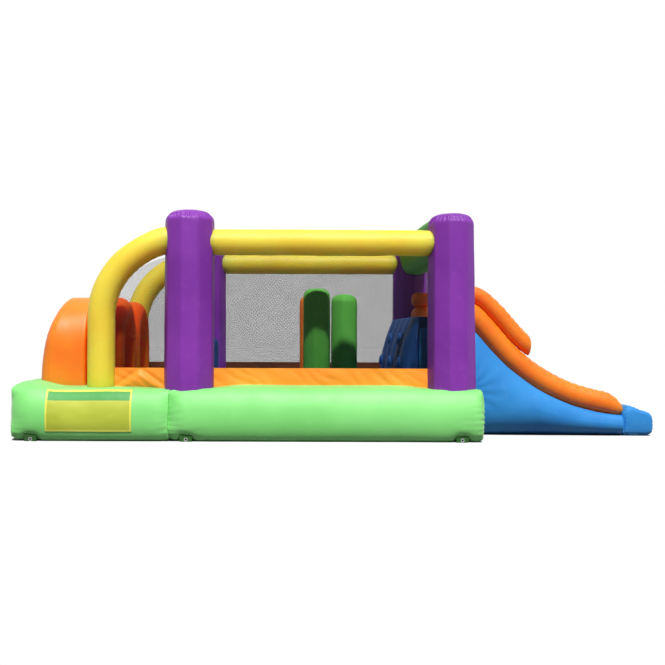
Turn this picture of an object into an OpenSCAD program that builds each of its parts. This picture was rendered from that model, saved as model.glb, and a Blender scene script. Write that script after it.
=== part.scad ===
// Inflatable bounce house with two crawl tunnels, a netted bounce room, a climbing wall and a slide.
// Millimetres, +Z up, +X towards the foot of the slide, origin on the ground below the middle.
// Every inflated chamber is a closed skin around air, sewn to its neighbours along a narrow seam.

/* [Overall] */
// Length of the green base, from the entry end to the slide
base_l = 4191; // [3900:1:5100]
// Depth of the green base
base_w = 2800; // [2600:1:3400]
// Height of the green base
base_h = 465; // [390:1:560]
// Reach of the slide past the base
slide_reach = 1809; // [1790:1:2200]
// Height of the purple columns
column_top = 2095; // [1950:1:2520]

/* [Skin and seams] */
// Thickness of a chamber's skin, with its seam tape
skin = 4; // [3:0.5:6]
// Gap left along a seam between two chambers
seam = 0.4; // [0.2:0.1:1]
// Number of gores round a bent tube
gores = 16; // [14:2:20]
// Thickness of an internal web
web_t = 3; // [2:0.5:5]

/* [Base] */
// Length of the entry block, up to the seam beside the left columns
entry_l = 1385; // [1200:1:1662]
// How much narrower each side of the entry block is than the base
entry_inset = 3; // [3:0.5:6]
// Width of the tubes along the front and rear
side_tube_w = 465; // [440:1:560]
// Width of the tube under the slide's platform
end_tube_w = 450; // [400:1:540]
// Rounding of the bulging sides
bulge_r = 90; // [75:1:108]
// Rounding of the corners in plan
plan_r = 60; // [50:1:72]

/* [Bounce floor] */
// How far the floor lies below the top of the base
floor_drop = 25; // [10:1:40]
// Rounding of the floor's edges
floor_r = 40; // [20:1:60]
// Number of sewn channels across the floor
floor_channels = 7; // [5:1:9]
// Depth of a sewn channel
channel_d = 30; // [15:1:40]

/* [Columns, beams and arches] */
// Radius of a column at its foot
column_r = 222; // [185:1:260]
// Radius of a column below its cap
column_top_r = 214; // [180:1:255]
// Height of a column's domed cap
cap_h = 120; // [90:1:150]
// Distance of a column's axis from the side of the base
column_inset = 280; // [260:1:320]
// Distance of the left columns past the entry seam
left_column_offset = 177; // [148:1:212]
// Distance of the right columns from the end of the base
right_column_offset = 214; // [180:1:257]
// Height of the beams' axis
beam_z = 1805; // [1680:1:1830]
// Radius of a beam
beam_r = 119; // [99:1:140]
// Radius of an arch tube
arch_r = 127; // [106:1:150]
// Radius of an arch's bend, on its axis
arch_bend_r = 700; // [600:1:760]
// Distance from an arch's leg to the left column
arch_span = 813; // [790:1:950]
// Height of the green cross tube's axis
cross_z = 1870; // [1760:1:1890]
// Radius of the green cross tube
cross_r = 180; // [150:1:200]

/* [Walls and nets] */
// Height of the fabric walls' hems
wall_top = 648; // [600:1:760]
// Thickness of the fabric of a wall with its hem
wall_t = 3; // [2:0.5:5]
// Depth of the wall's folds
fold_d = 10; // [0:1:18]
// Distance between the cords of a net
net_pitch = 116; // [105:1:140]
// Width of a net's cords
net_cord = 6; // [4:0.5:10]
// Width of a net's hem
net_hem = 22; // [16:1:40]
// Thickness of a net
net_t = 3; // [2:0.5:5]

/* [Crawl tunnels] */
// Distance of the tunnels from the entry end
tunnel_offset = 130; // [108:1:156]
// Length of a hoop along the tunnel
hoop_l = 398; // [332:1:410]
// Thickness of a hoop
hoop_t = 235; // [196:1:240]
// Width of the crawl hole
tunnel_hole_w = 500; // [417:1:510]
// Height of the crawl hole's straight sides
tunnel_leg_h = 375; // [313:1:450]

/* [Pop-up posts] */
// Radius of a post
post_r = 128; // [107:1:154]
// Height of the tall posts
post_top = 1400; // [1167:1:1600]
// Height of the short post
short_post_top = 950; // [790:1:1140]
// Height of a post's bending line above the floor
post_pivot = 45; // [40:1:54]
// Gap between a post's round foot and its socket in the floor
post_gap = 0.5; // [0.4:0.1:2]
// Distance of the pair of posts before the end of the floor
post_x = 976; // [814:1:1100]
// Distance of the second green post before the end of the floor
rear_post_x = 675; // [563:1:700]
// Distance of the short post before the end of the floor
short_post_x = 2106; // [1755:1:2120]
// Distance of the front green post from the middle
front_post_y = 590; // [500:1:650]
// Distance of the second green post from the middle
rear_post_y = 235; // [196:1:282]
// Distance of the orange post from the middle
orange_post_y = 330; // [275:1:650]

/* [Climbing wall] */
// Height of the climbing wall
climb_top = 1140; // [1090:1:1210]
// Thickness of the climbing wall at its foot
climb_foot = 185; // [154:1:222]
// Thickness of the climbing wall at its top
climb_head = 40; // [33:1:60]
// Number of upright lobes
climb_lobes = 5; // [4:1:6]
// Radius of the sewn channels between the lobes
climb_channel_r = 28; // [20:1:36]
// Radius of a hold
hold_r = 62; // [51:1:74]
// Thickness of a hold
hold_t = 45; // [35:1:60]

/* [Slide] */
// Width of the slide
slide_w = 1580; // [1400:1:1700]
// Height of the slide's platform
platform_z = 1040; // [960:1:1080]
// Length of the platform up to the crest
platform_l = 410; // [380:1:492]
// Rounding of the crest
crest_r = 205; // [170:1:246]
// Steepest slope of the slide, in degrees
slope_a = 49; // [45:1:50]
// Length of the straight slope
slope_l = 192; // [160:1:215]
// Radius of the sweep at the foot
sweep_r = 1850; // [1700:1:1900]
// Slope left at the end of the sweep, in degrees
foot_a = 5; // [4:1:7]
// Radius of the lower rails
lower_rail_r = 95; // [79:1:100]
// Radius of the upper rails
upper_rail_r = 85; // [71:1:92]
// Distance of the rails' start past the edge of the platform
rail_start = 230; // [192:1:276]
// Number of gores round the sweep at the foot
sweep_steps = 16; // [12:1:20]
// Number of those gores that the upper rails reach past
upper_rail_steps = 3; // [1:1:4]
// Length of the bolster across the slide's foot
bolster_l = 310; // [290:1:372]
// Height of the bolster
bolster_h = 285; // [281:1:342]

/* [Air inlet, zip and anchors] */
// Radius of the air inlet's bore, for a blower nozzle
inlet_r = 90; // [75:1:108]
// Length of the inlet collar
inlet_l = 90; // [75:1:108]
// Thickness of the inlet collar
inlet_t = 4; // [3:0.5:6]
// Distance of the inlet from the end of the base
inlet_x = 300; // [250:1:360]
// Height of the inlet's axis
inlet_z = 210; // [175:1:252]
// Length of the deflation zip
zip_l = 380; // [317:1:456]
// Distance of the zip's middle from the end of the base
zip_x = 750; // [700:1:800]
// Height of the zip
zip_z = 130; // [110:1:156]
// Travel of the zip slider
zip_travel = 320; // [200:1:330]
// Width of an anchor tab
tab_w = 110; // [92:1:132]
// Distance of an anchor tab from the side of the base
tab_inset = 12; // [10:1:14]
// Thickness of an anchor tab
tab_t = 4; // [3:0.5:5]
// Radius of an anchor eyelet's bore
eyelet_r = 10; // [8:0.5:12]
// Width of the blank sewn patch
patch_w = 765; // [637:1:918]
// Height of the blank patch's lower edge
patch_z0 = 92; // [80:1:110]
// Height of the blank patch's upper edge
patch_z1 = 452; // [376:1:455]
// Thickness of the blank patch
patch_t = 2; // [1.5:0.25:2.5]

/* [Hidden] */
$fn = 48;

purple = [0.52, 0.25, 0.62];
yellow = [0.98, 0.86, 0.33];
green = [0.56, 0.90, 0.52];
leaf_green = [0.36, 0.64, 0.30];
orange = [0.98, 0.58, 0.18];
blue = [0.16, 0.46, 0.75];
black = [0.12, 0.12, 0.13];
steel = [0.72, 0.73, 0.75];

// Places along X
x_left = -(base_l + slide_reach) / 2;
x_seam = x_left + entry_l;
x_end = x_left + base_l;
x_platform = x_end - end_tube_w;
x_right = x_end + slide_reach;
left_column_x = x_seam + left_column_offset;
right_column_x = x_end - right_column_offset;
arch_leg_x = left_column_x - arch_span;
tunnel_x = x_left + tunnel_offset;

// Places along Y
side_y = base_w / 2;
column_y = side_y - column_inset;
tube_inner_y = side_y - side_tube_w;
slide_y = slide_w / 2;

// Heights
floor_z = base_h - floor_drop;
seat_drop = bulge_r / 2;
foot_drop = 20;

// Bends of the crawl hoops
hoop_bend_r = (tunnel_hole_w + hoop_t) / 2;
tunnel_y = tunnel_hole_w / 2 + hoop_t + seam / 2;

// The net and wall plane runs through the columns' axes
wall_end = max(column_r, column_top_r) + seam;
wall_left_x = left_column_x + wall_end;
wall_right_x = right_column_x - wall_end;
entry_wall_left_x = arch_leg_x + arch_r + seam;
entry_wall_right_x = left_column_x - wall_end;
arch_centre_x = arch_leg_x + arch_bend_r;
arch_centre_z = beam_z - arch_bend_r;

// Points on an arc about [cx, cz] from angle a0 to a1
function arc(cx, cz, r, a0, a1, steps) =
    [for (i = [0:steps]) let (a = a0 + (a1 - a0) * i / steps) [cx + r * cos(a), cz + r * sin(a)]];

// Outline of a rounded rectangle
function round_rect(x0, x1, y0, y1, r) = concat(
    arc(x1 - r, y0 + r, r, -90, 0, 8),
    arc(x1 - r, y1 - r, r, 0, 90, 8),
    arc(x0 + r, y1 - r, r, 90, 180, 8),
    arc(x0 + r, y0 + r, r, 180, 270, 8)
);

// A chamber with bulging edges, from a plan, a side view and an end view; grow moves its skin outwards
module pillow(x0, x1, y0, y1, z0, z1, edge_r, corner_r, grow = 0) {
    a = [x0 - grow, x1 + grow];
    b = [y0 - grow, y1 + grow];
    c = [z0 - grow, z1 + grow];
    intersection() {
        translate([0, 0, c[0]])
            linear_extrude(c[1] - c[0])
                polygon(round_rect(a[0], a[1], b[0], b[1], corner_r + grow));
        translate([0, b[1], 0])
            rotate([90, 0, 0])
                linear_extrude(b[1] - b[0])
                    polygon(round_rect(a[0], a[1], c[0], c[1], edge_r + grow));
        translate([a[0], 0, 0])
            rotate([90, 0, 90])
                linear_extrude(a[1] - a[0])
                    polygon(round_rect(b[0], b[1], c[0], c[1], edge_r + grow));
    }
}

// A section carried up a leg, over a half circle and down a second leg
module arched(leg, r) {
    linear_extrude(leg)
        children();
    translate([r, 0, leg])
        rotate([90, 0, 180])
            rotate_extrude(angle = 180)
                translate([r, 0])
                    children();
    translate([2 * r, 0, 0])
        linear_extrude(leg)
            children();
}

// The rear copy of a front piece
module at_rear() {
    mirror([0, 1, 0])
        children();
}

// Places [x, z, heading] round a bend about c; a negative radius turns the other way
function bend(c, r, from, to, steps) =
    [for (i = [0:steps]) let (a = from + (to - from) * i / steps)
        [c[0] - r * sin(a), c[1] + r * cos(a), a]];

// A round tube sewn from gores, along places [x, z, heading] in the plane y
module gored_tube(places, y, r) {
    last = len(places) - 1;
    points = [
        for (p = places)
            for (k = [0:gores - 1])
                let (t = 360 * k / gores)
                    [p[0] - r * cos(t) * sin(p[2]), y + r * sin(t), p[1] + r * cos(t) * cos(p[2])]
    ];
    function at(i, k) = i * gores + k % gores;
    faces = concat(
        [for (i = [0:last - 1]) for (k = [0:gores - 1]) [at(i, k), at(i + 1, k + 1), at(i + 1, k)]],
        [for (i = [0:last - 1]) for (k = [0:gores - 1]) [at(i, k), at(i, k + 1), at(i + 1, k + 1)]],
        [for (k = [1:gores - 2]) [at(0, 0), at(0, k + 1), at(0, k)]],
        [for (k = [1:gores - 2]) [at(last, 0), at(last, k), at(last, k + 1)]]
    );
    polyhedron(points, faces);
}

// The base

module entry_shape(grow = 0) {
    y = side_y - entry_inset;
    pillow(x_left, x_seam - seam / 2, -y, y, 0, base_h, bulge_r, plan_r, grow);
}

module side_tube_shape(grow = 0) {
    pillow(x_seam + seam / 2, x_end, -side_y, -tube_inner_y, 0, base_h, bulge_r, plan_r, grow);
}

module end_tube_shape(grow = 0) {
    y = tube_inner_y - seam;
    pillow(x_platform, x_end, -y, y, 0, base_h, bulge_r, floor_r, grow);
}

module floor_shape(grow = 0) {
    y = tube_inner_y - seam;
    pillow(x_seam + seam / 2, x_platform - seam, -y, y, 0, floor_z, floor_r, floor_r, grow);
}

module base_shapes(grow) {
    entry_shape(grow);
    side_tube_shape(grow);
    at_rear()
        side_tube_shape(grow);
    end_tube_shape(grow);
    floor_shape(grow);
}

module entry_base() {
    color(green)
        difference() {
            entry_shape();
            entry_shape(-skin);
        }
}

module front_base_tube() {
    color(green)
        difference() {
            side_tube_shape();
            side_tube_shape(-skin);
        }
}

module rear_base_tube() {
    at_rear()
        front_base_tube();
}

module end_base_tube() {
    color(green)
        difference() {
            end_tube_shape();
            end_tube_shape(-skin);
        }
}

// The bounce floor, with sewn channels across it and a socket for each post

channel_pitch = (x_platform - x_seam) / floor_channels;
post_places = [
    [x_platform - post_x, -front_post_y],
    [x_platform - rear_post_x, -rear_post_y],
    [x_platform - post_x, orange_post_y],
    [x_platform - short_post_x, 0]
];

module floor_channel(i, grow) {
    translate([x_seam + i * channel_pitch, 0, floor_z])
        rotate([90, 0, 0])
            cylinder(r = channel_d + grow, h = 2 * side_y, center = true);
}

module post_sockets(grow) {
    for (p = post_places)
        translate([p[0], p[1], floor_z + post_pivot])
            sphere(post_r + post_gap + grow);
}

module bounce_floor() {
    color(blue)
        difference() {
            floor_shape();
            difference() {
                floor_shape(-skin);
                for (i = [1:floor_channels - 1])
                    floor_channel(i, skin);
                post_sockets(skin);
            }
            for (i = [1:floor_channels - 1])
                floor_channel(i, 0);
            post_sockets(0);
        }
}

// Webs that hold the floor flat below each channel
module floor_webs() {
    y = tube_inner_y - floor_r - skin;
    color(blue)
        difference() {
            for (i = [1:floor_channels - 1])
                translate([x_seam + i * channel_pitch - web_t / 2, -y, skin + seam])
                    cube([web_t, 2 * y, floor_z - channel_d - 2 * (skin + seam)]);
            post_sockets(skin + seam);
        }
}

// Columns, beams, arches and the cross tube

module column_outline(z0, grow) {
    r0 = column_r + grow;
    r1 = column_top_r + grow;
    shoulder = column_top - cap_h;
    dome = [for (p = arc(0, 0, 1, 0, 90, 8)) [r1 * p[0], shoulder + (cap_h + grow) * p[1]]];
    polygon(concat([[0, z0], [r0, z0]], dome));
}

module column_shape(x, grow = 0) {
    translate([x, -column_y, 0])
        rotate_extrude()
            column_outline(base_h - seat_drop, grow);
}

module column(x) {
    color(purple)
        difference() {
            column_shape(x);
            base_shapes(seam);
            translate([x, -column_y, 0])
                rotate_extrude()
                    column_outline(base_h + skin, -skin);
        }
}

module front_left_column() {
    column(left_column_x);
}

module front_right_column() {
    column(right_column_x);
}

module rear_left_column() {
    at_rear()
        column(left_column_x);
}

module rear_right_column() {
    at_rear()
        column(right_column_x);
}

module front_beam() {
    inset = column_r + skin;
    color(yellow)
        difference() {
            translate([left_column_x, -column_y, beam_z])
                rotate([0, 90, 0])
                    cylinder(r = beam_r, h = right_column_x - left_column_x);
            column_shape(left_column_x, seam);
            column_shape(right_column_x, seam);
            translate([left_column_x + inset, -column_y, beam_z])
                rotate([0, 90, 0])
                    cylinder(r = beam_r - skin, h = right_column_x - left_column_x - 2 * inset);
        }
}

module rear_beam() {
    at_rear()
        front_beam();
}

arch_steps = 12;
arch_air_a = asin((arch_centre_x - left_column_x + column_r + arch_r / 2) / arch_bend_r);

function arch_places(foot_z, end_a) = concat(
    [[arch_leg_x, foot_z, 90]],
    bend([arch_centre_x, arch_centre_z], arch_bend_r, 90, end_a, arch_steps)
);

module front_arch() {
    color(yellow)
        difference() {
            gored_tube(arch_places(base_h - foot_drop, 0), -column_y, arch_r);
            entry_shape(seam);
            column_shape(left_column_x, seam);
            gored_tube(arch_places(base_h + skin, arch_air_a), -column_y, arch_r - skin);
        }
}

module rear_arch() {
    at_rear()
        front_arch();
}

module cross_tube() {
    inset = column_r + skin;
    color(leaf_green)
        difference() {
            translate([right_column_x, 0, cross_z])
                rotate([90, 0, 0])
                    cylinder(r = cross_r, h = 2 * column_y, center = true);
            column_shape(right_column_x, seam);
            at_rear()
                column_shape(right_column_x, seam);
            translate([right_column_x, 0, cross_z])
                rotate([90, 0, 0])
                    cylinder(r = cross_r - skin, h = 2 * (column_y - inset), center = true);
        }
}

// Fabric walls, each a hemmed sheet with slanting folds, and the nets above them

fold_pitch = 150;

module fabric_wall(x0, x1) {
    z0 = base_h + seam;
    columns = round((x1 - x0) / fold_pitch * 4);
    rows = 4;
    function fold(u, v) = fold_d * sin(360 * ((x1 - x0) * u / fold_pitch + v)) * sin(180 * v);
    function corner(i, j, side) = let (u = i / columns, v = j / rows)
        [x0 + (x1 - x0) * u, -column_y + fold(u, v) + side * wall_t / 2, z0 + (wall_top - z0) * v];
    points = [for (side = [-1, 1]) for (i = [0:columns]) for (j = [0:rows]) corner(i, j, side)];
    half = (columns + 1) * (rows + 1);
    function at(i, j, side) = side * half + i * (rows + 1) + j;
    faces = concat(
        [for (i = [0:columns - 1]) for (j = [0:rows - 1])
            [at(i, j, 0), at(i + 1, j + 1, 0), at(i + 1, j, 0)]],
        [for (i = [0:columns - 1]) for (j = [0:rows - 1])
            [at(i, j, 0), at(i, j + 1, 0), at(i + 1, j + 1, 0)]],
        [for (i = [0:columns - 1]) for (j = [0:rows - 1])
            [at(i, j, 1), at(i + 1, j, 1), at(i + 1, j + 1, 1)]],
        [for (i = [0:columns - 1]) for (j = [0:rows - 1])
            [at(i, j, 1), at(i + 1, j + 1, 1), at(i, j + 1, 1)]],
        [for (i = [0:columns - 1]) [at(i, 0, 0), at(i + 1, 0, 0), at(i + 1, 0, 1)]],
        [for (i = [0:columns - 1]) [at(i, 0, 0), at(i + 1, 0, 1), at(i, 0, 1)]],
        [for (i = [0:columns - 1]) [at(i, rows, 0), at(i + 1, rows, 1), at(i + 1, rows, 0)]],
        [for (i = [0:columns - 1]) [at(i, rows, 0), at(i, rows, 1), at(i + 1, rows, 1)]],
        [for (j = [0:rows - 1]) [at(0, j, 0), at(0, j, 1), at(0, j + 1, 1)]],
        [for (j = [0:rows - 1]) [at(0, j, 0), at(0, j + 1, 1), at(0, j + 1, 0)]],
        [for (j = [0:rows - 1]) [at(columns, j, 0), at(columns, j + 1, 1), at(columns, j, 1)]],
        [for (j = [0:rows - 1]) [at(columns, j, 0), at(columns, j + 1, 0), at(columns, j + 1, 1)]]
    );
    color(orange)
        polyhedron(points, faces);
}

module front_wall() {
    fabric_wall(wall_left_x, wall_right_x);
}

module rear_wall() {
    at_rear()
        front_wall();
}

module front_entry_wall() {
    fabric_wall(entry_wall_left_x, entry_wall_right_x);
}

module rear_entry_wall() {
    at_rear()
        front_entry_wall();
}

net_z0 = wall_top + seam;

// The net's openings between x0 and x1 and below z1, where a cell lies within reach of a bend's centre
module net_cells(x0, x1, z1, centre, reach) {
    columns = floor((x1 - x0 - 2 * net_hem) / net_pitch);
    rows = floor((z1 - net_z0 - 2 * net_hem) / net_pitch);
    step_x = (x1 - x0 - 2 * net_hem + net_cord) / columns;
    step_z = (z1 - net_z0 - 2 * net_hem + net_cord) / rows;
    for (i = [0:columns - 1])
        for (j = [0:rows - 1]) {
            x = x0 + net_hem + i * step_x;
            z = net_z0 + net_hem + j * step_z;
            if (norm([x - centre[0], max(z + step_z - centre[1], 0)]) < reach)
                translate([x, z])
                    square([step_x - net_cord, step_z - net_cord]);
        }
}

module net_sheet() {
    color(black)
        translate([0, -column_y + net_t / 2, 0])
            rotate([90, 0, 0])
                linear_extrude(net_t)
                    children();
}

module front_net() {
    z1 = beam_z - beam_r - seam;
    net_sheet()
        difference() {
            translate([wall_left_x, net_z0])
                square([wall_right_x - wall_left_x, z1 - net_z0]);
            net_cells(wall_left_x, wall_right_x, z1, [0, 0], base_l);
        }
}

module rear_net() {
    at_rear()
        front_net();
}

module front_arch_net() {
    x0 = entry_wall_left_x;
    x1 = entry_wall_right_x;
    r = (arch_bend_r - arch_r) * cos(45 / arch_steps) - seam;
    top_a = acos((x1 - arch_centre_x) / r);
    rise = arc(arch_centre_x, arch_centre_z, r, top_a, 180, 16);
    net_sheet()
        difference() {
            polygon(concat([[x0, net_z0], [x1, net_z0]], rise));
            net_cells(x0, x1, rise[0][1], [arch_centre_x, arch_centre_z], r - net_hem);
        }
}

module rear_arch_net() {
    at_rear()
        front_arch_net();
}

// Crawl tunnels, each two hoops side by side

module hoop_section(grow) {
    r = hoop_t / 2 + grow;
    half = (hoop_l - hoop_t) / 2;
    polygon(concat(arc(0, half, r, 0, 180, 12), arc(0, -half, r, 180, 360, 12)));
}

module hoop(place) {
    x = tunnel_x + (place + 0.5) * hoop_l + place * seam;
    color(orange)
        difference() {
            translate([x, -tunnel_y - hoop_bend_r, base_h - foot_drop])
                rotate([0, 0, 90])
                    arched(tunnel_leg_h + foot_drop, hoop_bend_r)
                        hoop_section(0);
            entry_shape(seam);
            translate([x, -tunnel_y - hoop_bend_r, base_h + skin])
                rotate([0, 0, 90])
                    arched(tunnel_leg_h - skin, hoop_bend_r)
                        hoop_section(-skin);
        }
}

module front_tunnel_outer_hoop() {
    hoop(0);
}

module front_tunnel_inner_hoop() {
    hoop(1);
}

module rear_tunnel_outer_hoop() {
    at_rear()
        hoop(0);
}

module rear_tunnel_inner_hoop() {
    at_rear()
        hoop(1);
}

// Pop-up posts with a round foot that rolls in the floor's socket

post_crown = post_r / 2;

module post_outline(top, grow) {
    r = post_r + grow;
    pivot = floor_z + post_pivot;
    dome = [for (p = arc(0, 0, 1, 0, 90, 8)) [r * p[0], top - post_crown + (post_crown + grow) * p[1]]];
    polygon(concat(arc(0, pivot, r, -90, 0, 8), dome));
}

module post(place, top) {
    translate([place[0], place[1], 0])
        difference() {
            rotate_extrude()
                post_outline(top, 0);
            rotate_extrude()
                post_outline(top, -skin);
        }
}

module front_green_post() {
    color(leaf_green)
        post(post_places[0], post_top);
}

module rear_green_post() {
    color(leaf_green)
        post(post_places[1], post_top);
}

module orange_post() {
    color(orange)
        post(post_places[2], post_top);
}

module blue_post() {
    color(blue)
        post(post_places[3], short_post_top);
}

// The climbing wall, leaning against the slide's platform, and its holds

climb_back_x = x_platform - seam;
climb_foot_z = floor_z + seam;
climb_rise = climb_top - climb_foot_z;
climb_lean = atan((climb_foot - climb_head) / climb_rise);
climb_lobe_w = slide_w / climb_lobes;

function climb_outline(inset) = [
    [climb_back_x - inset, climb_foot_z + inset],
    [climb_back_x - inset, climb_top - inset],
    [climb_back_x - climb_head + inset / 2, climb_top - inset],
    [climb_back_x - climb_foot + inset, climb_foot_z + inset]
];

module climb_channels(grow) {
    for (i = [1:climb_lobes - 1])
        translate([climb_back_x - climb_foot, i * climb_lobe_w - slide_y, climb_foot_z])
            rotate([0, climb_lean, 0])
                cylinder(r = climb_channel_r + grow, h = 3 * climb_rise, center = true);
}

module along_slide(width) {
    translate([0, width / 2, 0])
        rotate([90, 0, 0])
            linear_extrude(width)
                children();
}

module climbing_wall() {
    color(blue)
        difference() {
            along_slide(slide_w)
                polygon(climb_outline(0));
            difference() {
                along_slide(slide_w - 2 * skin)
                    polygon(climb_outline(skin));
                climb_channels(skin);
            }
            climb_channels(0);
        }
}

hold_rows = [0.35, 0.68];
hold_taper = 0.7;

module climbing_holds() {
    slant = climb_rise / cos(climb_lean);
    for (lobe = [0:climb_lobes - 1])
        color(lobe % 2 == 0 ? orange : yellow)
            translate([climb_back_x - climb_foot, (lobe + 0.5) * climb_lobe_w - slide_y, climb_foot_z])
                rotate([0, climb_lean, 0])
                    translate([-seam, 0, slant * hold_rows[lobe % 2]])
                        rotate([0, -90, 0])
                            cylinder(r1 = hold_r, r2 = hold_r * hold_taper, h = hold_t);
}

// The slide, its rails and the bolster across its foot

crest_x = x_platform + platform_l;
crest_z = platform_z - crest_r;
crest_steps = 6;
sweep_step_a = (slope_a - foot_a) / sweep_steps;
slope_n = [sin(slope_a), cos(slope_a)];
slope_d = [cos(slope_a), -sin(slope_a)];
sweep_c = [crest_x, crest_z] + (crest_r + sweep_r) * slope_n + slope_l * slope_d;
bolster_x = x_right - bolster_l;
bolster_r = 0.48 * bolster_h;
run_out_z = sweep_c[1] - sweep_r * cos(foot_a);
slide_foot_x = x_end + seam;

function slide_outline(d) = concat(
    [[x_platform + d, base_h + seam + d], [slide_foot_x + d, base_h + seam + d], [slide_foot_x + d, d]],
    [[bolster_x - seam - d, d], [bolster_x - seam - d, run_out_z - d]],
    arc(sweep_c[0], sweep_c[1], sweep_r + d, -90 - foot_a, -90 - slope_a, sweep_steps),
    arc(crest_x, crest_z, crest_r - d, 90 - slope_a, 90, crest_steps),
    [[x_platform + d, platform_z - d]]
);

module inlet_hole() {
    translate([x_end + inlet_x, slide_y - skin, inlet_z])
        rotate([-90, 0, 0])
            cylinder(r = inlet_r, h = 3 * skin, center = true);
}

module slide_body() {
    color(blue)
        difference() {
            along_slide(slide_w)
                polygon(slide_outline(0));
            along_slide(slide_w - 2 * skin)
                polygon(slide_outline(skin));
            inlet_hole();
        }
}

// Upright webs that hold the slide's bed down
module slide_webs() {
    color(blue)
        for (y = [-slide_w / 6, slide_w / 6])
            translate([0, y, 0])
                along_slide(web_t)
                    polygon(slide_outline(skin + seam));
}

module bolster_shape(grow = 0) {
    pillow(bolster_x, x_right, -slide_y, slide_y, 0, bolster_h, bolster_r, plan_r, grow);
}

module slide_bolster() {
    color(blue)
        difference() {
            bolster_shape();
            bolster_shape(-skin);
        }
}

// Places along a rail from its start on the platform, whose axis keeps the distance lift above the slide's bed
function rail_places(lift, steps, inset) = concat(
    [[x_platform + rail_start + inset, platform_z + lift, 0]],
    bend([crest_x, crest_z], crest_r + lift, 0, -slope_a, crest_steps),
    bend(sweep_c, lift - sweep_r, -slope_a, steps * sweep_step_a - slope_a - atan(inset / sweep_r), steps)
);

module rail(r, lift, steps) {
    y = -slide_y + lower_rail_r;
    color(orange)
        difference() {
            gored_tube(rail_places(lift, steps, 0), y, r);
            gored_tube(rail_places(lift, steps, skin), y, r - skin);
        }
}

lower_lift = lower_rail_r + seam;
upper_lift = 2 * lower_rail_r + upper_rail_r + 2 * seam;

module front_lower_rail() {
    rail(lower_rail_r, lower_lift, sweep_steps);
}

module front_upper_rail() {
    rail(upper_rail_r, upper_lift, upper_rail_steps);
}

module rear_lower_rail() {
    at_rear()
        front_lower_rail();
}

module rear_upper_rail() {
    at_rear()
        front_upper_rail();
}

// Small fittings

// A blank patch sewn round the bulge of the entry block's front
module blank_patch() {
    y = side_y - entry_inset;
    x0 = (x_left + x_seam) / 2 - patch_w / 2;
    function section(grow) = round_rect(-y - grow, y, -grow, base_h + grow, bulge_r + grow);
    color(yellow)
        intersection() {
            translate([x0, 0, 0])
                rotate([90, 0, 90])
                    linear_extrude(patch_w)
                        difference() {
                            polygon(section(patch_t));
                            polygon(section(seam));
                        }
            translate([x0, -side_y, patch_z0])
                cube([patch_w, bulge_r, patch_z1 - patch_z0]);
        }
}

inlet_flange_w = 35;

module inlet_collar() {
    color(blue)
        translate([x_end + inlet_x, slide_y + seam, inlet_z])
            rotate([-90, 0, 0])
                difference() {
                    union() {
                        cylinder(r = inlet_r + inlet_t, h = inlet_l);
                        cylinder(r = inlet_r + inlet_flange_w, h = inlet_t);
                    }
                    translate([0, 0, -inlet_t])
                        cylinder(r = inlet_r, h = inlet_l + 2 * inlet_t);
                }
}

zip_tape_w = 36;
zip_tape_t = 2;
zip_slider_l = 34;
zip_slider_w = 16;
zip_slider_t = 9;
zip_pull_l = 34;
zip_pull_w = 11;
zip_pull_t = 2;
flap_h = 70;
flap_t = 3;
flap_hem_r = 8;
zip_centre_x = x_end + zip_x;
flap_hem_z = zip_z + zip_tape_w / 2 + flap_hem_r + seam;

module zip_tape() {
    color(black)
        translate([zip_centre_x - zip_l / 2, slide_y + seam, zip_z - zip_tape_w / 2])
            cube([zip_l, zip_tape_t, zip_tape_w]);
}

// The slider rests closed, at the end nearest the base
module zip_slider() {
    color(steel)
        translate([zip_centre_x - zip_travel / 2, slide_y + zip_tape_t + 2 * seam, zip_z])
            union() {
                translate([-zip_slider_l / 2, 0, -zip_slider_w / 2])
                    cube([zip_slider_l, zip_slider_t, zip_slider_w]);
                translate([-zip_pull_w / 2, zip_slider_t - zip_pull_t, -zip_pull_l])
                    cube([zip_pull_w, zip_pull_t, zip_pull_l]);
            }
}

// The flap hangs from a hem along its top edge and covers the zip
module zip_flap() {
    face_y = zip_tape_t + zip_slider_t + 2 * flap_t;
    color(blue)
        translate([zip_centre_x - zip_l / 2, slide_y, flap_hem_z])
            union() {
                translate([0, flap_hem_r + seam, 0])
                    rotate([0, 90, 0])
                        cylinder(r = flap_hem_r, h = zip_l);
                translate([0, flap_hem_r + seam, -flap_t / 2])
                    cube([zip_l, face_y - flap_hem_r, flap_t]);
                translate([0, face_y, -flap_h])
                    cube([zip_l, flap_t, flap_h + flap_t / 2]);
            }
}

// Tabs hang below the bulge of the base, clear of the ground

tab_clear = 1;
tab_h = 80;
eyelet_z = 19;
eyelet_wall = 2;
eyelet_rim = 1.2;
eyelet_flange_w = 6;
tab_places = [x_left + plan_r + tab_w, x_seam + plan_r + tab_w, x_end - plan_r - tab_w];

module at_tabs() {
    for (x = tab_places)
        for (side = [0, 1])
            mirror([0, side, 0])
                translate([x, tab_inset - side_y, 0])
                    children();
}

module eyelet_post(r, length) {
    translate([0, -eyelet_rim, eyelet_z])
        rotate([-90, 0, 0])
            cylinder(r = r, h = length);
}

module anchor_tabs() {
    color(green)
        difference() {
            at_tabs()
                translate([-tab_w / 2, 0, tab_clear])
                    cube([tab_w, tab_t, tab_h]);
            base_shapes(seam);
            at_tabs()
                eyelet_post(eyelet_r + eyelet_wall + seam, 3 * tab_t);
        }
}

module anchor_eyelets() {
    color(steel)
        at_tabs()
            difference() {
                union() {
                    eyelet_post(eyelet_r + eyelet_wall, tab_t + eyelet_rim);
                    eyelet_post(eyelet_r + eyelet_flange_w, eyelet_rim - seam);
                }
                translate([0, -tab_t, 0])
                    eyelet_post(eyelet_r, 4 * tab_t);
            }
}

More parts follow.
